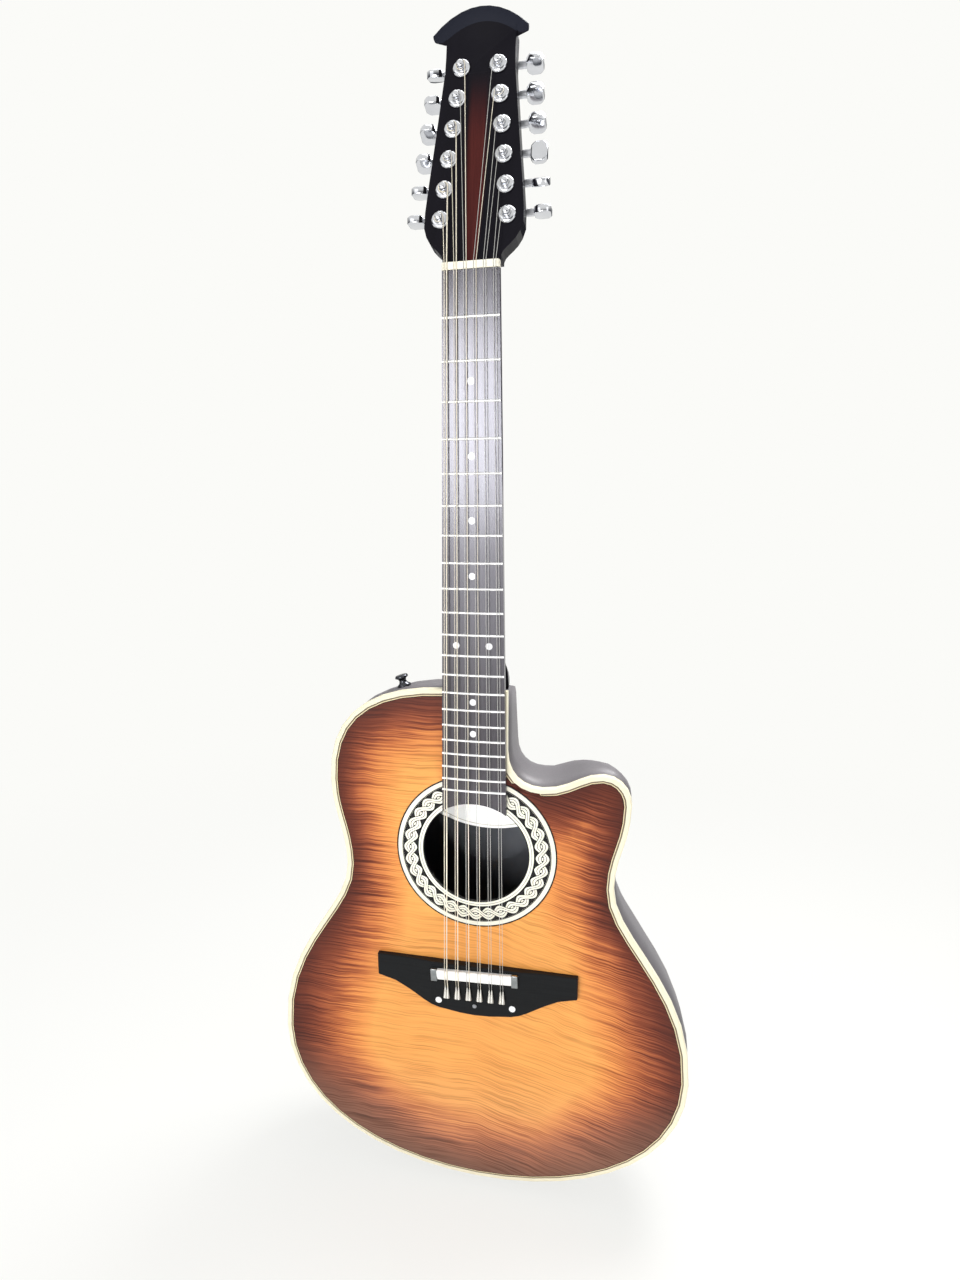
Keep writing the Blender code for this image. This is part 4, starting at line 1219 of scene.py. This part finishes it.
# %% [markdown]
# A string ends in a loop that is wrapped with its own wire, which looks like a small drop on the
# bridge. A cone with its wide end rounded by a bevel has that form, and two stand side by side
# for each pair of strings.

# %% Wrapped string ends
PAIR_COUNT = 6
STRING_SPREAD = 0.0560
PAIR_GAP = 0.0025
WRAP_LENGTH = 0.0135
WRAP_RADIUS = 0.0023
WRAP_TIP = 0.0005
WRAP_DROP = 0.0006
WRAP_ROUND = 0.0018


def add_wrap(x, low_z):
    bpy.ops.object.select_all(action="DESELECT")
    bpy.ops.mesh.primitive_cone_add(vertices=20, radius1=WRAP_RADIUS, radius2=WRAP_TIP,
                                    depth=WRAP_LENGTH,
                                    location=(x, BRIDGE_FACE_Y - WRAP_RADIUS, low_z + WRAP_LENGTH / 2))
    wrap = bpy.context.object
    bpy.ops.object.transform_apply(location=True, rotation=True, scale=True)
    apply_modifier(wrap, "BEVEL", width=WRAP_ROUND, segments=5, limit_method="ANGLE",
                   angle_limit=math.radians(60))
    return wrap


def make_wraps():
    wraps = []
    for pair in range(PAIR_COUNT):
        centre = STRING_SPREAD * (pair / (PAIR_COUNT - 1) - 0.5)
        foot = FOOT_Z + FOOT_SLANT * centre - WRAP_DROP
        for side in (-1, 1):
            wraps.append(add_wrap(centre + side * PAIR_GAP / 2, foot))
    piece = join_pieces(wraps, "string_wraps")
    smooth(piece, 50)
    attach(piece, "guitar")
    print("wrapped string ends:", len(wraps))
    return piece


wraps = make_wraps()

# %% [markdown]
# Two pearl dots and one slotted screw are set into the bridge behind the string ends. Painted on
# they would catch no light, so the dots are low discs with a broken edge, and the screw is a disc
# with its slot cut out by a thin block.

# %% Bridge dots and screw
BRIDGE_DOTS = ((-0.0368, 0.2278), (0.0381, 0.2287))
BRIDGE_DOT_RADIUS = 0.0033
BRIDGE_DOT_HEIGHT = 0.0012
BRIDGE_SCREW = (0.0001, 0.2262)
SCREW_RADIUS = 0.0021
SCREW_HEIGHT = 0.0014
SLOT_HALF = (0.0030, 0.0003)
SLOT_DEEP = (0.0010, 0.0003)


def make_bridge_dots():
    dots = [add_rod(BRIDGE_DOT_RADIUS, BRIDGE_DOT_HEIGHT, (x, BRIDGE_FACE_Y, z), "Y", DOT_SIDES)
            for x, z in BRIDGE_DOTS]
    piece = join_pieces(dots, "bridge_dots")
    apply_modifier(piece, "BEVEL", width=0.0003, segments=2, limit_method="ANGLE")
    smooth(piece, ROUND_METAL)
    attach(piece, "guitar")
    return piece


def make_screw():
    x, z = BRIDGE_SCREW
    screw = add_rod(SCREW_RADIUS, SCREW_HEIGHT, (x, BRIDGE_FACE_Y, z), "Y", DOT_SIDES)
    slot = add_block((x - SLOT_HALF[0], BRIDGE_FACE_Y - SLOT_DEEP[0], z - SLOT_HALF[1]),
                     (x + SLOT_HALF[0], BRIDGE_FACE_Y - SLOT_DEEP[1], z + SLOT_HALF[1]))
    cut_with(screw, slot, "DIFFERENCE")
    settle(screw, "bridge_screw")
    smooth(screw, ROUND_METAL)
    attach(screw, "guitar")
    return screw


bridge_dots = make_bridge_dots()
screw = make_screw()
print("bridge dots:", len(BRIDGE_DOTS), "screw in mm:", SCREW_RADIUS * 2000)

# %% [markdown]
# Through the soundhole shows a plain oval label, a sheet of paper glued inside the bowl. A flat
# oval would cut through the round wall, so it is made flat in the hollow, divided, and laid onto
# the wall by a Shrinkwrap modifier that moves each point straight back. Solidify then gives it
# the thickness of stiff paper.

# %% Paper label
LABEL_PLACE = (-0.012, 0.0, 0.3937)
LABEL_HALF_WIDTH = 0.066
LABEL_HALF_HEIGHT = 0.034
LABEL_STAND_OFF = 0.0004
LABEL_THICKNESS = 0.0003


def make_label():
    bpy.ops.object.select_all(action="DESELECT")
    bpy.ops.mesh.primitive_circle_add(vertices=64, radius=1.0, fill_type="TRIFAN", location=LABEL_PLACE,
                                      rotation=(math.pi / 2, 0.0, 0.0))
    label = bpy.context.object
    label.scale = (LABEL_HALF_WIDTH, LABEL_HALF_HEIGHT, 1.0)
    bpy.ops.object.transform_apply(location=True, rotation=True, scale=True)
    pick_faces(label, lambda face: True)
    bpy.ops.mesh.subdivide(number_cuts=5)
    bpy.ops.object.mode_set(mode="OBJECT")
    apply_modifier(label, "SHRINKWRAP", target=nodes["bowl"], wrap_method="PROJECT",
                   use_project_y=True, use_negative_direction=False, use_positive_direction=True,
                   offset=LABEL_STAND_OFF)
    apply_modifier(label, "SOLIDIFY", thickness=LABEL_THICKNESS, offset=0.0)
    settle(label, "paper_label")
    smooth(label, ROUND_METAL)
    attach(label, "guitar")
    print("label stands at", [round(value, 4) for value in label.data.vertices[0].co])
    return label


label = make_label()

# %% [markdown]
# The fittings' finishes: dull silver for the channel, wound wire for the string ends, pearl for
# the dots, worn steel for the screw, and paper with one fine ruled border for the label. The
# border is drawn at one share of the oval's own radius, so it follows the edge.

# %% Fitting finishes
BORDER_PLACE = 0.90
BORDER_HALF = 0.008
BORDER_BROWN = tint(170, 160, 140)
PAPER_WHITES = (tint(253, 253, 252), tint(242, 241, 238))
WRAP_GREYS = (tint(156, 152, 144), tint(248, 246, 240))


def make_paper():
    material, tree, shader = start_finish("label_paper", 0.8)
    fibre = noise(tree, place_of(tree, scale=(500.0, 500.0, 900.0)))
    scale = (1 / LABEL_HALF_WIDTH, 0.0, 1 / LABEL_HALF_HEIGHT)
    x, y, z = parts_of(tree, place_of(tree, centre=LABEL_PLACE, scale=scale))
    border = line_at(tree, flat_length(tree, x, z), BORDER_PLACE, BORDER_HALF)
    feed(tree, shader.inputs["Base Color"],
         mix(tree, border, mix(tree, fibre, *PAPER_WHITES), BORDER_BROWN))
    return material


def make_wrap_finish():
    material, tree, shader = start_finish("wrapped_wire", 0.34, 1.0)
    turns = add(tree, "TexWave", {"Vector": place_of(tree), "Scale": 420.0, "Distortion": 0.6},
                bands_direction="Z")
    height = turns.outputs["Fac"]
    feed(tree, shader.inputs["Base Color"], mix(tree, height, *WRAP_GREYS))
    bump(tree, shader, height, 0.0002, 0.6)
    return material


dress(channel, make_metal("channel_silver", tint(168, 172, 172), tint(120, 124, 126), 0.30, 200.0))
dress(wraps, make_wrap_finish())
dress(bridge_dots, make_cream("bridge_pearl", tint(252, 252, 252), tint(226, 228, 230), 0.20))
dress(screw, make_metal("screw_steel", tint(176, 178, 182), tint(140, 142, 146), 0.34, 300.0))
dress(label, make_paper())
print("materials:", len(bpy.data.materials))

# %% [markdown]
# The studio is a plain pale floor under the end button and a white surround. A floor that is lit
# to white would wash out the guitar, so white is shown only to rays that come from the camera,
# a mirror or glass, and the light itself stays soft. Near the guitar the floor keeps part of its
# own shading, so it still takes a shadow.

# %% Floor
FLOOR_DROP = 0.0006
FLOOR_SIZE = 40.0
FLOOR_SHARE = 0.78
FLOOR_PAINT = tint(238, 238, 236)
SHADOW_FADES = (0.35, 1.60)
BACKDROP_WHITE = tint(251, 251, 248)


def seen_directly(tree):
    path = add(tree, "LightPath")
    seen = calc(tree, "MAXIMUM", path.outputs["Is Camera Ray"], path.outputs["Is Transmission Ray"])
    return calc(tree, "MAXIMUM", seen, path.outputs["Is Glossy Ray"])


def make_floor():
    bpy.ops.object.select_all(action="DESELECT")
    bpy.ops.mesh.primitive_plane_add(size=FLOOR_SIZE, location=(0.0, 0.0, cad_low.z - FLOOR_DROP))
    floor = bpy.context.object
    floor.name = "studio_floor"
    material, tree, shader = start_finish("floor_paint", 0.9)
    shader.inputs["Base Color"].default_value = FLOOR_PAINT
    glow = add(tree, "Emission", {"Color": BACKDROP_WHITE, "Strength": 1.0})
    x, y, z = parts_of(tree, place_of(tree))
    away = fade(tree, flat_length(tree, x, y), *SHADOW_FADES)
    share = calc(tree, "MULTIPLY_ADD", away, 1.0 - FLOOR_SHARE, FLOOR_SHARE)
    blend = add(tree, "MixShader", {"Fac": times(tree, seen_directly(tree), share)})
    tree.links.new(shader.outputs["BSDF"], blend.inputs[1])
    tree.links.new(glow.outputs["Emission"], blend.inputs[2])
    tree.links.new(blend.outputs["Shader"], tree.nodes["Material Output"].inputs["Surface"])
    dress(floor, material)
    print("floor at", round(floor.location.z, 4))


make_floor()

# %% [markdown]
# The surround lights the guitar from all sides, brighter from above than from the horizon. In a
# mirror it is white with one dark card round the horizon, because chrome that mirrors nothing but
# white looks like chalk. In a studio for goods a dark card beside the lens serves the same end.

# %% Surround
SURROUND_STRENGTH = 0.47
SKY_STOPS = ((0.00, (0.70, 0.70, 0.70, 1.0)), (0.47, (0.30, 0.31, 0.33, 1.0)),
             (0.53, (0.34, 0.35, 0.37, 1.0)), (0.62, (0.80, 0.81, 0.84, 1.0)),
             (1.00, (1.0, 1.0, 1.0, 1.0)))
CARD_GREY = tint(72, 74, 80)
CARD_EDGE = (0.50, 0.10)


def dark_card(tree, z):
    mirrored = add(tree, "LightPath").outputs["Is Glossy Ray"]
    outside, inside = CARD_EDGE
    return times(tree, mirrored, fade(tree, z, outside, inside), fade(tree, z, -outside, -inside))


def make_world():
    world = bpy.data.worlds.new("studio_white")
    world.use_nodes = True
    tree = world.node_tree
    x, y, z = parts_of(tree, add(tree, "TexCoord").outputs["Generated"])
    background = tree.nodes["Background"]
    height = calc(tree, "MULTIPLY_ADD", z, 0.5, 0.5)
    feed(tree, background.inputs["Color"], ramp(tree, height, SKY_STOPS))
    background.inputs["Strength"].default_value = SURROUND_STRENGTH
    white = mix(tree, dark_card(tree, z), BACKDROP_WHITE, CARD_GREY)
    bright = add(tree, "Background", {"Color": white, "Strength": 1.0})
    blend = add(tree, "MixShader", {"Fac": seen_directly(tree)})
    tree.links.new(background.outputs["Background"], blend.inputs[1])
    tree.links.new(bright.outputs["Background"], blend.inputs[2])
    tree.links.new(blend.outputs["Shader"], tree.nodes["World Output"].inputs["Surface"])
    bpy.context.scene.world = world


make_world()
print("surround strength:", SURROUND_STRENGTH)

# %% [markdown]
# The lamps are soft boxes. The large one in front is placed where its mirror image runs down the
# fingerboard to the camera, which gives the board its sheen. The rest fill in from low, left,
# right, above and behind, and a narrow spot reaches through the soundhole to the label.

# %% Lamps
GUITAR_MIDDLE = (0.0, 0.0, 0.55)
SHEEN_TARGET = (0.0, -0.046, 0.80)
HEEL_SIDE = (0.08, 0.03, 0.46)
SOFT_BOXES = (
    ("window_front", (-0.42, -2.00, 0.85), SHEEN_TARGET, (1.0, 0.56), 24.0),
    ("window_low", (-0.42, -2.00, 0.34), (0.0, -0.046, 0.62), (1.0, 0.46), 3.0),
    ("soft_box_left", (-1.5, -1.9, 1.5), GUITAR_MIDDLE, (1.4, 1.4), 6.0),
    ("soft_box_right", (1.9, -1.2, 1.2), GUITAR_MIDDLE, (1.2, 1.6), 6.5),
    ("soft_box_top", (0.2, 0.4, 2.6), GUITAR_MIDDLE, (1.6, 1.2), 16.0),
    ("soft_box_behind", (0.45, 0.45, 1.55), HEEL_SIDE, (0.5, 0.5), 20.0),
)
HOLE_LIGHT_PLACE = (0.10, -1.15, 0.52)
HOLE_LIGHT_OFFSET = (-0.004, 0.004)
HOLE_LIGHT_POWER = 72.0
HOLE_LIGHT_SPREAD = 5.0


def aim(lamp, place, target):
    lamp.rotation_euler = (Vector(target) - Vector(place)).to_track_quat("-Z", "Y").to_euler()


def add_soft_box(name, place, target, size, power):
    bpy.ops.object.light_add(type="AREA", location=place)
    lamp = bpy.context.object
    lamp.name = name
    lamp.data.shape = "RECTANGLE"
    lamp.data.size = size[0]
    lamp.data.size_y = size[1]
    lamp.data.energy = power
    lamp.visible_camera = False
    aim(lamp, place, target)


def add_hole_light():
    bpy.ops.object.light_add(type="SPOT", location=HOLE_LIGHT_PLACE)
    lamp = bpy.context.object
    lamp.name = "light_into_soundhole"
    lamp.data.energy = HOLE_LIGHT_POWER
    lamp.data.spot_size = math.radians(HOLE_LIGHT_SPREAD)
    lamp.data.spot_blend = 0.2
    lamp.data.shadow_soft_size = 0.05
    across, along = HOLE_LIGHT_OFFSET
    aim(lamp, HOLE_LIGHT_PLACE, (HOLE.x + across, TOP_Y, HOLE.z + along))


for name, place, target, size, power in SOFT_BOXES:
    add_soft_box(name, place, target, size, power)
add_hole_light()
bpy.context.scene.view_settings.view_transform = "Standard"
print("lamps:", len(SOFT_BOXES) + 1)
